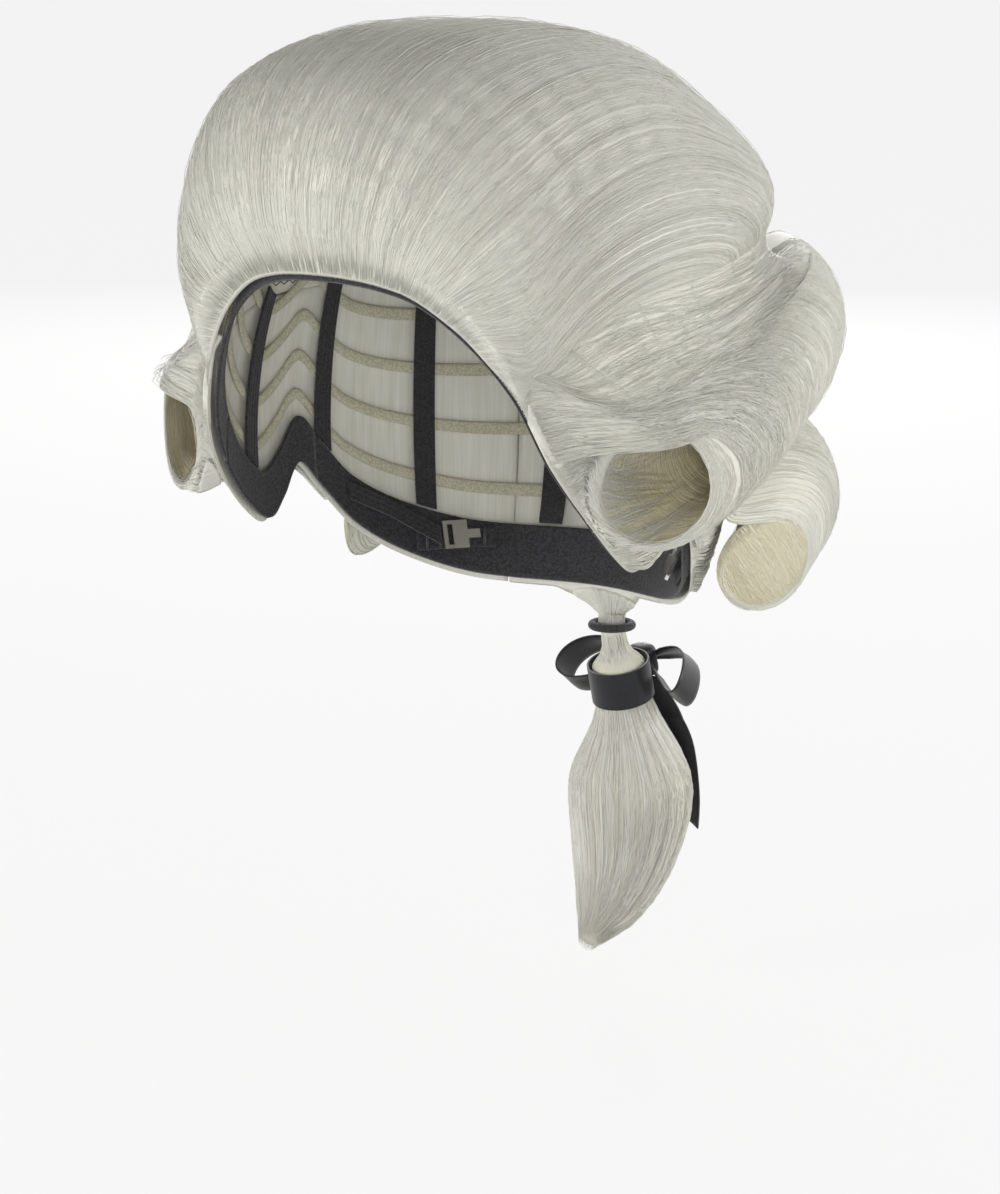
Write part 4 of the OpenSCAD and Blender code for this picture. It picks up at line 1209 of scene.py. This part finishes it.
# Shorter strands break up the long ones higher on the back.
u = rng.uniform(-1, 1, (PANEL_COUNT, 1))
start = rng.uniform(-0.1, 0.75, (PANEL_COUNT, 1))
t = np.clip(start + np.linspace(0, 0.35, 8)[None, :], 0, 1)
short = back_place(u * lerp(1, 0.7, t**1.4), t, rng.normal(-0.25, 0.1, (PANEL_COUNT, 1)))
strand_piece("back_short_strands", short, STRAND_T["short"], tints(0.55, 0.15, PANEL_COUNT), fibre, "cap")
# In front of the tie short hair comes in from the nape.
turns = rng.uniform(165, 375, NAPE_COUNT)
neck = [gather_ring(turns, u, rng.normal(0.1, 0.12, NAPE_COUNT)) for u in np.linspace(-0.1, 1, 7)]
neck.append(tie_ring(GATHER_R, turns, 0.6))
tint = tints(0.5, 0.18, NAPE_COUNT)
strand_piece("nape_hair_strands", np.stack(neck, 1), STRAND_T["nape"], tint, fibre, "cap")
print("back hair", made_tris["back_hair_strands"])

# %% [markdown]
# From the tie the hair falls as the queue, through the turn of ribbon, swells and curls
# forward at the tip. It follows one bent line, with a half width and a half depth read
# from tables along it, so the mass, the strands and the ribbon all agree.

# %% Queue shape
QUEUE_LEN, QUEUE_LEAN, RIBBON_W, RIBBON_T, WRAP_R = 126, 16, 14, 0.8, 10.5
QUEUE_HALF_W, QUEUE_HALF_D = 23, 19
WRAP_START, NECK_R = GATHER_R + 9.5, 3.4
WRAP_END = WRAP_START + RIBBON_W
WRAP_FILL = WRAP_R - LAYER_GAP
QUEUE_TURN = [(0, QUEUE_LEAN), (WRAP_END, QUEUE_LEAN), (lerp(WRAP_END, QUEUE_LEN, 0.3), 2),
              (lerp(WRAP_END, QUEUE_LEN, 0.65), -24), (QUEUE_LEN, -58)]


def queue_table(half):
    stops = ((0, WRAP_FILL), (0.32, half), (0.6, half * 0.86), (0.84, half * 0.5), (1, 3))
    return [(lerp(WRAP_END, QUEUE_LEN, u), r) for u, r in stops]


QUEUE_W, QUEUE_D = queue_table(QUEUE_HALF_W), queue_table(QUEUE_HALF_D)
ACROSS = np.array([1, 0, 0])


def queue_way(s):
    a = np.where(s < WRAP_END, QUEUE_LEAN, smooth_at(QUEUE_TURN, s))
    return np.stack([0 * a, sin_d(a), -cos_d(a)], -1)


QUEUE_STEPS = 60
QUEUE_STEP = QUEUE_LEN / QUEUE_STEPS
step_ways = queue_way((np.arange(QUEUE_STEPS) + 0.5) * QUEUE_STEP)
queue_line = TIE + np.concatenate([np.zeros((1, 3)), np.cumsum(QUEUE_STEP * step_ways, 0)])


def queue_at(s):
    x = np.clip(np.asarray(s, float) / QUEUE_STEP, 0, QUEUE_STEPS)
    i = np.minimum(x.astype(int), QUEUE_STEPS - 1)
    return lerp(queue_line[i], queue_line[i + 1], (x - i)[..., None])


def queue_half(s, table):
    start = np.clip((s - GATHER_R - LAYER_GAP) / (WRAP_START - GATHER_R - LAYER_GAP), 0, 1)
    return np.where(s >= WRAP_END, smooth_at(table, s), lerp(NECK_R, WRAP_FILL, start**2))


def back_of(way):
    """The way out of the queue's back, square to its length."""
    return np.stack([0 * way[..., 0], -way[..., 2], way[..., 1]], -1)


def queue_ring(middle, way, turns, wide, deep):
    back, across = deep * sin_d(turns), wide * cos_d(turns)
    return middle + back_of(way) * back[..., None] + ACROSS * across[..., None]


def queue_place(s, turns, grow):
    s, turns, grow = np.broadcast_arrays(np.asarray(s, float), turns, grow)
    wide, deep = queue_half(s, QUEUE_W) + grow, queue_half(s, QUEUE_D) + grow
    return queue_ring(queue_at(s), queue_way(s), turns, wide, deep)


print("queue tip at, mm:", np.round(queue_at(QUEUE_LEN), 1))

# %% Queue hair
QUEUE_COUNT, QUEUE_POINTS, QUEUE_ROOT = 1250, 15, 6.5
# The queue's packed fibre is creamier than the crown's, as the ends of such hair are.
queue_mass_finish = mass_finish("packed cream fibre", ("#dbd7c2", "#e5e2d0", "#eeebdf"), 140, 0.3)
s_grid, k_grid = grid(np.linspace(GATHER_R + LAYER_GAP, QUEUE_LEN - 3, 60), np.arange(0, 360, 6))
queue_mass = ring_piece("queue_mass", queue_place(s_grid, k_grid, -0.55), queue_mass_finish, "queue", "hair")
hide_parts("queue_hair")

across, place, lift, tone = locks(QUEUE_COUNT, "queue", 0.25)
u = np.linspace(0, 1, QUEUE_POINTS)[None, :]
end = lerp(0.86, 1.0, rng.random((QUEUE_COUNT, 1)) ** 0.6)
s = lerp(QUEUE_ROOT, QUEUE_LEN, (u * end) ** 1.25)
rise = rises(-0.45, 0.3, 0.08, 0.11, place, lift)
rise = np.where((s > WRAP_START - 3) & (s < WRAP_END + 2), np.minimum(rise, -0.3) - 0.3, rise)
swirl = rng.normal(0, 3.0, (QUEUE_COUNT, 1)) * u + 14 * u**2
paths = queue_place(s, (across * 360)[:, None] + swirl, rise)
tint = tints(0.58, 0.14, QUEUE_COUNT, tone)
thick = rng.uniform(*STRAND_T["queue"], QUEUE_COUNT)
strand_piece("queue_strands", paths, thick, tint, queue_fibre, "queue")
print("queue", made_tris["queue_strands"])

# %% [markdown]
# A short bundle of the same hair fills the step between the tie and the queue.

# %% Hair at the tie
JOIN_START, JOIN_END, JOIN_COUNT = 1.2, 12, 180
JOIN_R = [(JOIN_START, 3.6), (3.5, 4.2), (6, 4.3), (8, 4.5), (10, 5.3), (JOIN_END, 6.3)]


def join_place(s, turns, grow):
    s, turns, grow = np.broadcast_arrays(np.asarray(s, float), turns, grow)
    way, r = queue_way(0 * s), smooth_at(JOIN_R, s) + grow
    return queue_ring(TIE + way * s[..., None], way, turns, r, r)


s_grid, k_grid = grid(np.linspace(1.4, 11, 14), np.arange(0, 360, 9))
x = np.linspace(0, 1, 7)[None, :]
turns = rng.uniform(0, 360, (JOIN_COUNT, 1)) + rng.normal(0, 6, (JOIN_COUNT, 1)) * x
paths = join_place(lerp(JOIN_START, JOIN_END, x), turns, rng.normal(-0.02, 0.1, (JOIN_COUNT, 1)))
tint = tints(0.55, 0.15, JOIN_COUNT)
bend = [Vector(join_place(s, 0.0, 0.0) * [0, MM, MM]) for s in (1.5, 9.0)]
middle = join_place(s_grid, k_grid, -0.35)
for piece in (ring_piece("tie_hair_mass", middle, queue_mass_finish, None, "hair"),
              strand_piece("tie_hair_strands", paths, STRAND_T["tie"], tint, queue_fibre, None)):
    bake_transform(piece)
print("hair at the tie", made_tris["tie_hair_strands"])

# %% [markdown]
# The ribbon is black satin: a tight turn round the queue, a knot at the back, two
# loops and two tails cut on a slant. Satin is smooth along its length and shows a
# soft broad gloss.

# %% Satin finish
# Half of u is one face of the 14 mm ribbon, so these are warp threads 0.13 mm apart.
SATIN_SCALE = (220, 6, 1)


def satin_finish():
    made, tree, shader = new_material("black polyester satin")
    uv = add_node(tree, "ShaderNodeUVMap", uv_map=UV_NAME)
    spread = add_node(tree, "ShaderNodeMapping", {"Vector": uv.outputs[0]}, Scale=SATIN_SCALE)
    weave = add_node(tree, "ShaderNodeTexNoise", {"Vector": spread.outputs[0]}, Scale=1.0, Detail=1.0)
    tone = add_node(
        tree, "ShaderNodeValToRGB", {"Fac": weave.outputs["Fac"]}, [(0.3, "#101116"), (0.7, "#1d1e25")])
    tree.links.new(tone.outputs["Color"], shader.inputs["Base Color"])
    bump = add_node(
        tree, "ShaderNodeBump", {"Height": weave.outputs["Fac"]}, Strength=0.3, Distance=0.1 * MM)
    tree.links.new(bump.outputs[0], shader.inputs["Normal"])
    shader.inputs["Roughness"].default_value = 0.34
    shader.inputs["Sheen Weight"].default_value = 0.25
    return made


satin = satin_finish()
print("ribbon finish", satin.name)

# %% Ribbon builder
SATIN_T = 0.5


def ribbon_skin(name, mid, body, node):
    """A ribbon of even thickness about a grid of middle points: rows across, columns along."""
    across, along = np.gradient(mid, axis=0), np.gradient(mid, axis=1)
    out = unit(np.cross(along, across))
    piece = skin_piece(name, mid + out * SATIN_T / 2, mid - out * SATIN_T / 2, satin, body, "ribbon")
    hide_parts(node)
    return piece


def flat_size(mid):
    """Width and length of a ribbon along its middle lines, in metres."""
    wide = np.median(np.linalg.norm(np.diff(mid, axis=0), axis=-1).sum(0))
    long = np.linalg.norm(np.diff(mid, axis=1), axis=-1).sum(1).max()
    area = 0.0
    near, far = mid[:-1, :-1], mid[1:, 1:]
    for a, b, c in ((near, mid[1:, :-1], far), (near, far, mid[:-1, 1:])):
        area += np.linalg.norm(np.cross(b - a, c - a), axis=-1).sum() / 2
    return (wide * MM, long * MM), area * MM * MM


print("ribbon", RIBBON_W, "mm wide")

# %% [markdown]
# A loop is one length of ribbon that leaves the knot and comes back to it, and a tail
# hangs down over the queue. Each is a grid of middle points, across and along, given
# thickness on both sides. A bent plane would stretch, but a grid keeps its true width.

# %% Bow loops and tails
KNOT_W, KNOT_D, KNOT_H, LOOP_LEN, LOOP_OPEN, TAIL_LEN = 11, 8, 12, 26, 16, 46
LOOP_Q, LOOP_BEND, LOOP_SAG, LOOP_SET, LOOP_DROOP = 0.03, 0.5, 0.15, 1.8, 56
BOW_AT = (WRAP_START + WRAP_END) / 2
KNOT_OUT = back_of(queue_way(np.array(BOW_AT)))
KNOT = queue_at(BOW_AT) + KNOT_OUT * (WRAP_R + RIBBON_T + LAYER_GAP / 2 + KNOT_D / 2)


def loop_mid(t, q):
    def line(x):
        return np.stack([LOOP_LEN * sin_d(180 * x), LOOP_OPEN / 2 * sin_d(360 * x)], -1)

    along = line(np.minimum(q + 0.004, 1)) - line(np.maximum(q - 0.004, 0))
    out = unit(np.stack([-along[..., 1], along[..., 0]], -1))
    wave = 0.9 * sin_d(360 * t) * (1 - sin_d(180 * q))
    p = line(q) + out * wave[..., None]
    free = np.clip((np.minimum(q, 1 - q) - LOOP_Q) / 0.055, 0, 1)
    spread = lerp(0.5, 1, sin_d(180 * np.clip(q, 0.02, 0.98)) ** 0.8)
    h = (t - 0.5) * RIBBON_W * spread * lerp(0.55, 1, free)
    return KNOT + np.stack([
        p[..., 0],
        p[..., 1] * cos_d(LOOP_DROOP) - h * sin_d(LOOP_DROOP) - LOOP_BEND * p[..., 0] ** 2 / LOOP_LEN
        + LOOP_SET * lerp(0.2, 1, free),
        p[..., 1] * sin_d(LOOP_DROOP) + h * cos_d(LOOP_DROOP) - LOOP_SAG * p[..., 0]], -1)


def tail_mid(t, q):
    s = BOW_AT + KNOT_H / 2 + LAYER_GAP + q * TAIL_LEN
    wide = RIBBON_W * lerp(0.34, 1, sin_d(90 * np.minimum(1, q * 1.8)))
    rest = np.maximum(WRAP_R + RIBBON_T + KNOT_D / 2 + LAYER_GAP, queue_half(s, QUEUE_D) + 2.2)
    wave = 1.1 * sin_d(420 * q) * np.minimum(1, 3 * q) + 1.3 * sin_d(180 * t) * np.minimum(1, 2 * q)
    way = queue_way(s)
    cut = np.clip((q - 0.9) / 0.1, 0, 1) * (t - 0.5) * 7
    x = (wide + LAYER_GAP) / 2 + 2 * q + (t - 0.5) * wide
    return (queue_at(s) + back_of(way) * (rest + wave)[..., None] + way * cut[..., None]
            + ACROSS * x[..., None])


t_grid, q_grid = grid(np.linspace(0, 1, 11), np.linspace(LOOP_Q, 1 - LOOP_Q, 70))
loop = loop_mid(t_grid, q_grid)
t_grid, q_grid = grid(np.linspace(0, 1, 11), np.linspace(0, 1, 60))
tail = tail_mid(t_grid, q_grid)
for side, turned in SIDES:
    for kind, mid, body, held in (("loop", loop, "queue", "gathered"),
                                  ("tail", tail, f"{side}_bow_tail", "hung")):
        piece = ribbon_skin(f"{side}_bow_{kind}_satin", turned(mid), body, f"{side}_bow_{kind}")
        flat, area = flat_size(mid)
        print(piece.name, "flat", [round(x / MM, 1) for x in flat], "mm")

# %% [markdown]
# The turn of ribbon is an open cylinder, cut finer and given thickness by Solidify. The
# knot is a ball drawn towards a box, with shallow pleats, as a tight knot has.

# %% Ribbon turn and knot
WRAP_T = 0.6


def set_ribbon(piece, place, node):
    """Lean a piece of ribbon with the queue and set it in its place there."""
    piece.location = Vector(place * MM)
    piece.rotation_euler = (math.radians(QUEUE_LEAN), 0, 0)
    bpy.ops.object.transform_apply(location=True, rotation=True, scale=True)
    piece.data.uv_layers[0].name = UV_NAME
    piece.data.materials.append(satin)
    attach(piece, "queue")
    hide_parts(node)


bpy.ops.mesh.primitive_cylinder_add(
    vertices=96, radius=(WRAP_R + RIBBON_T / 2) * MM, depth=RIBBON_W * MM, end_fill_type="NOTHING")
wrap = bpy.context.object
wrap.name = "ribbon_wrap_satin"
bpy.ops.object.mode_set(mode="EDIT")
bpy.ops.mesh.select_all(action="SELECT")
bpy.ops.mesh.subdivide(number_cuts=5)
bpy.ops.object.mode_set(mode="OBJECT")
bpy.ops.object.modifier_add(type="SOLIDIFY")
wrap.modifiers["Solidify"].thickness = WRAP_T * MM
wrap.modifiers["Solidify"].offset = 0
bpy.ops.object.modifier_apply(modifier="Solidify")
set_ribbon(wrap, queue_at(BOW_AT), "ribbon_wrap")
bpy.ops.object.shade_smooth_by_angle(angle=math.radians(40))

bpy.ops.mesh.primitive_uv_sphere_add(segments=48, ring_count=24, radius=1)
knot = bpy.context.object
knot.name = "bow_knot_satin"
for vertex in knot.data.vertices:
    x, y, z = vertex.co
    around = math.atan2(y, x)
    square = 1 / max(abs(z) ** 4 + math.hypot(x, y) ** 4, 1e-6) ** 0.25
    pleat = 1 + 0.05 * math.cos(7 * around + 2 * z) * (1 - abs(z))
    vertex.co = (x * square * pleat * KNOT_W / 2 * MM, y * square * pleat * KNOT_D / 2 * MM,
                 z * square * KNOT_H / 2 * MM)
set_ribbon(knot, KNOT, "bow_knot")
bpy.ops.object.shade_smooth()
print("ribbon turn and knot made")

# %% [markdown]
# Inside is the cap that the hair is sewn to: a net crown, upright elastics, rows of
# stitched weft, a band round the rim and an ear tab each side. The dark stretch tape
# has a fine knit that only shows close by.

# %% Cap finishes
def tape_finish(name, dark, light, pitch_mm):
    made, tree, shader = new_material(name)
    place = add_node(tree, "ShaderNodeTexCoord")
    knit = add_node(
        tree, "ShaderNodeTexVoronoi", {"Vector": place.outputs["Object"]}, Scale=1 / (pitch_mm * MM))
    tone = add_node(
        tree, "ShaderNodeValToRGB", {"Fac": knit.outputs["Distance"]}, [(0.1, light), (0.7, dark)])
    tree.links.new(tone.outputs["Color"], shader.inputs["Base Color"])
    bump = add_node(tree, "ShaderNodeBump", {"Height": knit.outputs["Distance"]}, invert=True,
                    Strength=0.5, Distance=0.3 * MM)
    tree.links.new(bump.outputs[0], shader.inputs["Normal"])
    shader.inputs["Roughness"].default_value = 0.8
    shader.inputs["Sheen Weight"].default_value = 0.2
    return made


# All of it is matt and dark, so that it stays out of sight. Only the weft is pale as hair.
cap_tape = tape_finish("dark knitted stretch tape", "#232326", "#414146", 0.9)
net_thread = tape_finish("dark net thread", "#2a2a2d", "#48484c", 0.6)
elastic_tape = tape_finish("ribbed elastic", "#1d1d20", "#38383d", 0.7)
stitch_thread = fibre_finish("polyester sewing thread", [(0.2, "#3c3c40"), (0.8, "#5a5a60")], 0.55)
weft_tape = tape_finish("stitched weft", "#b9b59c", "#d8d5c2", 0.8)
print("cap finishes", cap_tape.name, net_thread.name, elastic_tape.name, weft_tape.name, sep=", ")

# %% [markdown]
# Bands and tabs are strips of tape along the rim, with a hem that is a little thicker.
# They are skins between two lifts off the same egg, so they meet without a gap.

# %% Cap bands and tabs
TAB_FRONT, TAB_BACK = 60, 102


def strip_grid(a0, a1, top, bottom, columns, rows):
    a, t = grid(np.linspace(a0, a1, columns), np.linspace(0, 1, rows))
    return a, lerp(top(a), bottom(a), t), t


def hem(t):
    return 0.22 * np.clip(1 - np.minimum(t, 1 - t) / 0.12, 0, 1) ** 0.5


def cap_strip(node, a0, a1, columns, turned=np.array):
    a, p, t = strip_grid(a0, a1, band_p, rim_p, columns, 15)
    high, low = on_head(a, p, CAP_T - 0.2 + hem(t)), on_head(a, p, 0.2 - hem(t))
    piece = skin_piece(f"{node}_tape", turned(high), turned(low), cap_tape, "cap", "cap_net")
    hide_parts(node)
    flat, area = flat_size(np.swapaxes(on_head(a, p, CAP_T / 2), 0, 1))
    print(piece.name, "flat", [round(x / MM, 1) for x in flat], "mm")


cap_strip("front_band", -TAB_FRONT, TAB_FRONT, 80)
cap_strip("nape_band", TAB_BACK, 360 - TAB_BACK, 100)
for side, turned in SIDES:
    cap_strip(f"{side}_ear_tab", TAB_FRONT, TAB_BACK, 40, turned)

# %% [markdown]
# Upright elastics bridge the open part of the cap, and rows of weft carry the hair. What
# repeats is one skin after another, joined into one piece. Ribs are real relief.

# %% Elastics and wefts
ELASTIC_COUNT, ELASTIC_W, ELASTIC_RIBS, WEFT_COUNT, WEFT_H = 12, 8, 4, 4, 4


def joined_skins(name, pairs, finish, body, slot_name):
    """Several closed skins made one by one and joined into one piece."""
    made = [skin_piece(f"{name}_{i}", *pair, finish, body, slot_name) for i, pair in enumerate(pairs)]
    bpy.ops.object.select_all(action="DESELECT")
    for piece in made:
        piece.select_set(True)
    bpy.context.view_layer.objects.active = made[0]
    bpy.ops.object.join()
    made[0].name = name
    bpy.ops.object.select_all(action="DESELECT")
    return made[0]


slack = degrees_of(2 * LAYER_GAP)
half = degrees_of(ELASTIC_W / 2)
pairs = []
for i in range(ELASTIC_COUNT):
    mid = (i + 0.5) * 360 / ELASTIC_COUNT
    a, p, _ = strip_grid(mid - half, mid + half, lambda x: net_p(x) + slack / 2,
                         lambda x: band_p(x) - slack, 17, 14)
    rib = 0.12 * cos_d(360 * ELASTIC_RIBS * (a - mid + half) / (2 * half))
    pairs.append((on_head(a, p, CAP_T - 0.2 + rib), on_head(a, p, 0.2 - rib)))
elastics = joined_skins("cap_elastics_ribbed", pairs, elastic_tape, "cap", "elastic")
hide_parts("cap_elastics")


def weft_p(a, i):
    return lerp(net_p(a), band_p(a), (i + 0.3) / WEFT_COUNT)


pairs = []
for i in range(WEFT_COUNT):
    a, p, t = strip_grid(0, 360, lambda x: weft_p(x, i), lambda x: weft_p(x, i) + degrees_of(WEFT_H), 181, 7)
    crown = 0.3 * sin_d(180 * t)
    pairs.append((on_head(a, p, WEFT_IN + WEFT_T - 0.3 + crown), on_head(a, p, WEFT_IN + 0.3 - crown)))
wefts = joined_skins("weft_rows_stitched", pairs, weft_tape, "cap", "hair")
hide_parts("weft_rows")
print("elastics", ELASTIC_COUNT, "weft rows", WEFT_COUNT)

# %% [markdown]
# The top of the cap is an open net. A picture with holes would look flat, so the threads
# are real. The dual of a ball of triangles has six-sided cells like a net, and the
# Wireframe modifier turns their edges to threads.

# %% Net crown
bpy.ops.mesh.primitive_ico_sphere_add(subdivisions=5, radius=1)
net = bpy.context.object
net.name = "crown_net_mesh"
dual = bpy.data.node_groups.new("six-sided cells", "GeometryNodeTree")
dual.interface.new_socket("Geometry", in_out="INPUT", socket_type="NodeSocketGeometry")
dual.interface.new_socket("Geometry", in_out="OUTPUT", socket_type="NodeSocketGeometry")
source, cells, sink = (dual.nodes.new(kind) for kind in (
    "NodeGroupInput", "GeometryNodeDualMesh", "NodeGroupOutput"))
dual.links.new(source.outputs[0], cells.inputs[0])
dual.links.new(cells.outputs[0], sink.inputs[0])
step = net.modifiers.new("cells", "NODES")
step.node_group = dual
bpy.ops.object.modifier_apply(modifier="cells")

co = np.empty(len(net.data.vertices) * 3)
net.data.vertices.foreach_get("co", co)
co = unit(co.reshape(-1, 3))
# The ball is drawn in towards its top, which sets the size of a cell.
NET_DRAW, NET_THREAD = 0.62, 0.45
net_polar = np.degrees(np.arccos(np.clip(co[:, 2], -1, 1))) * NET_DRAW
net_a = np.degrees(np.arctan2(co[:, 0], -co[:, 1]))
inside = net_polar < net_p(net_a)
net.data.vertices.foreach_set("co", (on_head(net_a, np.minimum(net_polar, 85), CAP_T / 2) * MM).ravel())
bpy.ops.object.mode_set(mode="EDIT")
bpy.ops.mesh.select_mode(type="VERT")
bpy.ops.mesh.select_all(action="DESELECT")
bpy.ops.object.mode_set(mode="OBJECT")
net.data.vertices.foreach_set("select", ~inside)
bpy.ops.object.mode_set(mode="EDIT")
bpy.ops.mesh.delete(type="VERT")
bpy.ops.object.mode_set(mode="OBJECT")
threads = net.modifiers.new("threads", "WIREFRAME")
threads.thickness = NET_THREAD * MM
threads.use_boundary = True
threads.use_even_offset = False
bpy.ops.object.modifier_apply(modifier="threads")
net.data.materials.clear()
net.data.materials.append(net_thread)
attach(net, "cap")
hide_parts("crown_net")
print("net threads, triangles:", sum(len(p.vertices) - 2 for p in net.data.polygons))

# %% [markdown]
# Two elastic straps behind the ear tabs set the size of the cap. Each ends in a small
# plated hook that catches one of a row of thread loops on a tape at the nape.

# %% Adjusters
STRAP_W, STRAP_T, LOOP_COUNT, LOOP_PITCH, HOOK_T, HOOK_LEN = 7, 0.9, 5, 6, 1.2, 9
TAPE_A, TAPE_LIFT, TAPE_T, LOOP_BOW, LOOP_CORD = 142, -LAYER_GAP, 0.8, 1.3, 0.7
ADJUST_Z = float(smooth_at(RIM_TABLE, 140)) + BAND_W * 0.45
HOOK_LIFT = TAPE_LIFT - TAPE_T - LOOP_BOW - LOOP_CORD - 2 * LAYER_GAP
STRAP_A, STRAP_RIBS = 112, 3
STRAP_Z = float(smooth_at(RIM_TABLE, STRAP_A)) + BAND_W * 0.5
STRAP_END = TAPE_A - degrees_of(HOOK_LEN / 2 + 3 * LAYER_GAP)

# Bare plated wire, the one hard glint inside the cap.
plated, tree, shader = new_material("nickel-plated wire hook")
shader.inputs["Base Color"].default_value = colour("#c9c8c4")
shader.inputs["Metallic"].default_value = 1.0
shader.inputs["Roughness"].default_value = 0.28


def tape_p(a, t):
    return polar_of(a, ADJUST_Z) + degrees_of((t - 0.5) * STRAP_W)


def strap_mid(a, t):
    u = (a - STRAP_A) / (STRAP_END - STRAP_A)
    p = lerp(polar_of(a, STRAP_Z), polar_of(a, ADJUST_Z), u) + degrees_of((t - 0.5) * STRAP_W)
    return p, lerp(-LAYER_GAP - STRAP_T / 2, HOOK_LIFT - HOOK_T / 2, np.clip(u * 2.5, 0, 1))


half = degrees_of(((LOOP_COUNT - 1) / 2 + 0.7) * LOOP_PITCH)
for side, turned in SIDES:
    a, t = grid(np.linspace(TAPE_A - half, TAPE_A + half, 40), np.linspace(0, 1, 9))
    tape = skin_piece(f"{side}_loop_tape_woven", turned(on_head(a, tape_p(a, t), TAPE_LIFT)),
                      turned(on_head(a, tape_p(a, t), TAPE_LIFT - TAPE_T)), cap_tape, "cap", "elastic")
    mids = TAPE_A + degrees_of((np.arange(LOOP_COUNT) - (LOOP_COUNT - 1) / 2) * LOOP_PITCH)
    t = np.linspace(0, 1, 13)[None, :]
    cords = [on_head(mids[:, None] + degrees_of(shift), tape_p(mids[:, None], t),
                     TAPE_LIFT - TAPE_T - LOOP_BOW * sin_d(180 * t) - LOOP_CORD / 2)
             for shift in (-0.35, 0.0, 0.35)]
    loops = strand_piece(f"{side}_thread_loops", turned(np.concatenate(cords)), 0.55,
                         np.full(LOOP_COUNT * 3, 0.5), stitch_thread, "cap")
    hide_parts(f"{side}_loop_tape")

    a, t = grid(np.linspace(STRAP_A, STRAP_END, 40), np.linspace(0, 1, 13))
    p, lift = strap_mid(a, t)
    rib = 0.1 * cos_d(360 * STRAP_RIBS * t)
    strap = skin_piece(f"{side}_adjust_strap_ribbed", turned(on_head(a, p, lift + STRAP_T / 2 - 0.1 + rib)),
                       turned(on_head(a, p, lift - STRAP_T / 2 + 0.1 - rib)), elastic_tape, None, "elastic")
    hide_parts(f"{side}_adjust_strap")
    ends = [on_head(x, *strap_mid(np.array(x), np.array(0.5))) * MM
            for x in (STRAP_A + 3.0, STRAP_END - 1.0)]
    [Vector(turned(e)) for e in ends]
    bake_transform(strap)

    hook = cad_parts[f"{side}_strap_hook"]
    hook.data.materials.clear()
    hook.data.materials.append(plated)
print("adjusters made")

# %% [markdown]
# A small covered elastic gathers the hair above the queue. It is a ring of round cord
# that lies just clear of the gathered hair, so it can turn with the queue.

# %% Hair tie
TIE_CORD_R = 1.5
bpy.ops.mesh.primitive_torus_add(
    major_segments=64, minor_segments=16, major_radius=(GATHER_R + LAYER_GAP + TIE_CORD_R) * MM,
    minor_radius=TIE_CORD_R * MM)
tie = bpy.context.object
tie.name = "hair_tie_elastic"
tie.location = Vector(TIE * MM)
bpy.ops.object.transform_apply(location=True)
bpy.ops.object.shade_smooth()
tie.data.materials.append(elastic_tape)
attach(tie, "hair_tie")
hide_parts("hair_tie")
print("hair tie", round(tie.dimensions.x / MM, 1), "mm across")

# %% Finish
print("triangles in all:", sum(made_tris.values()))
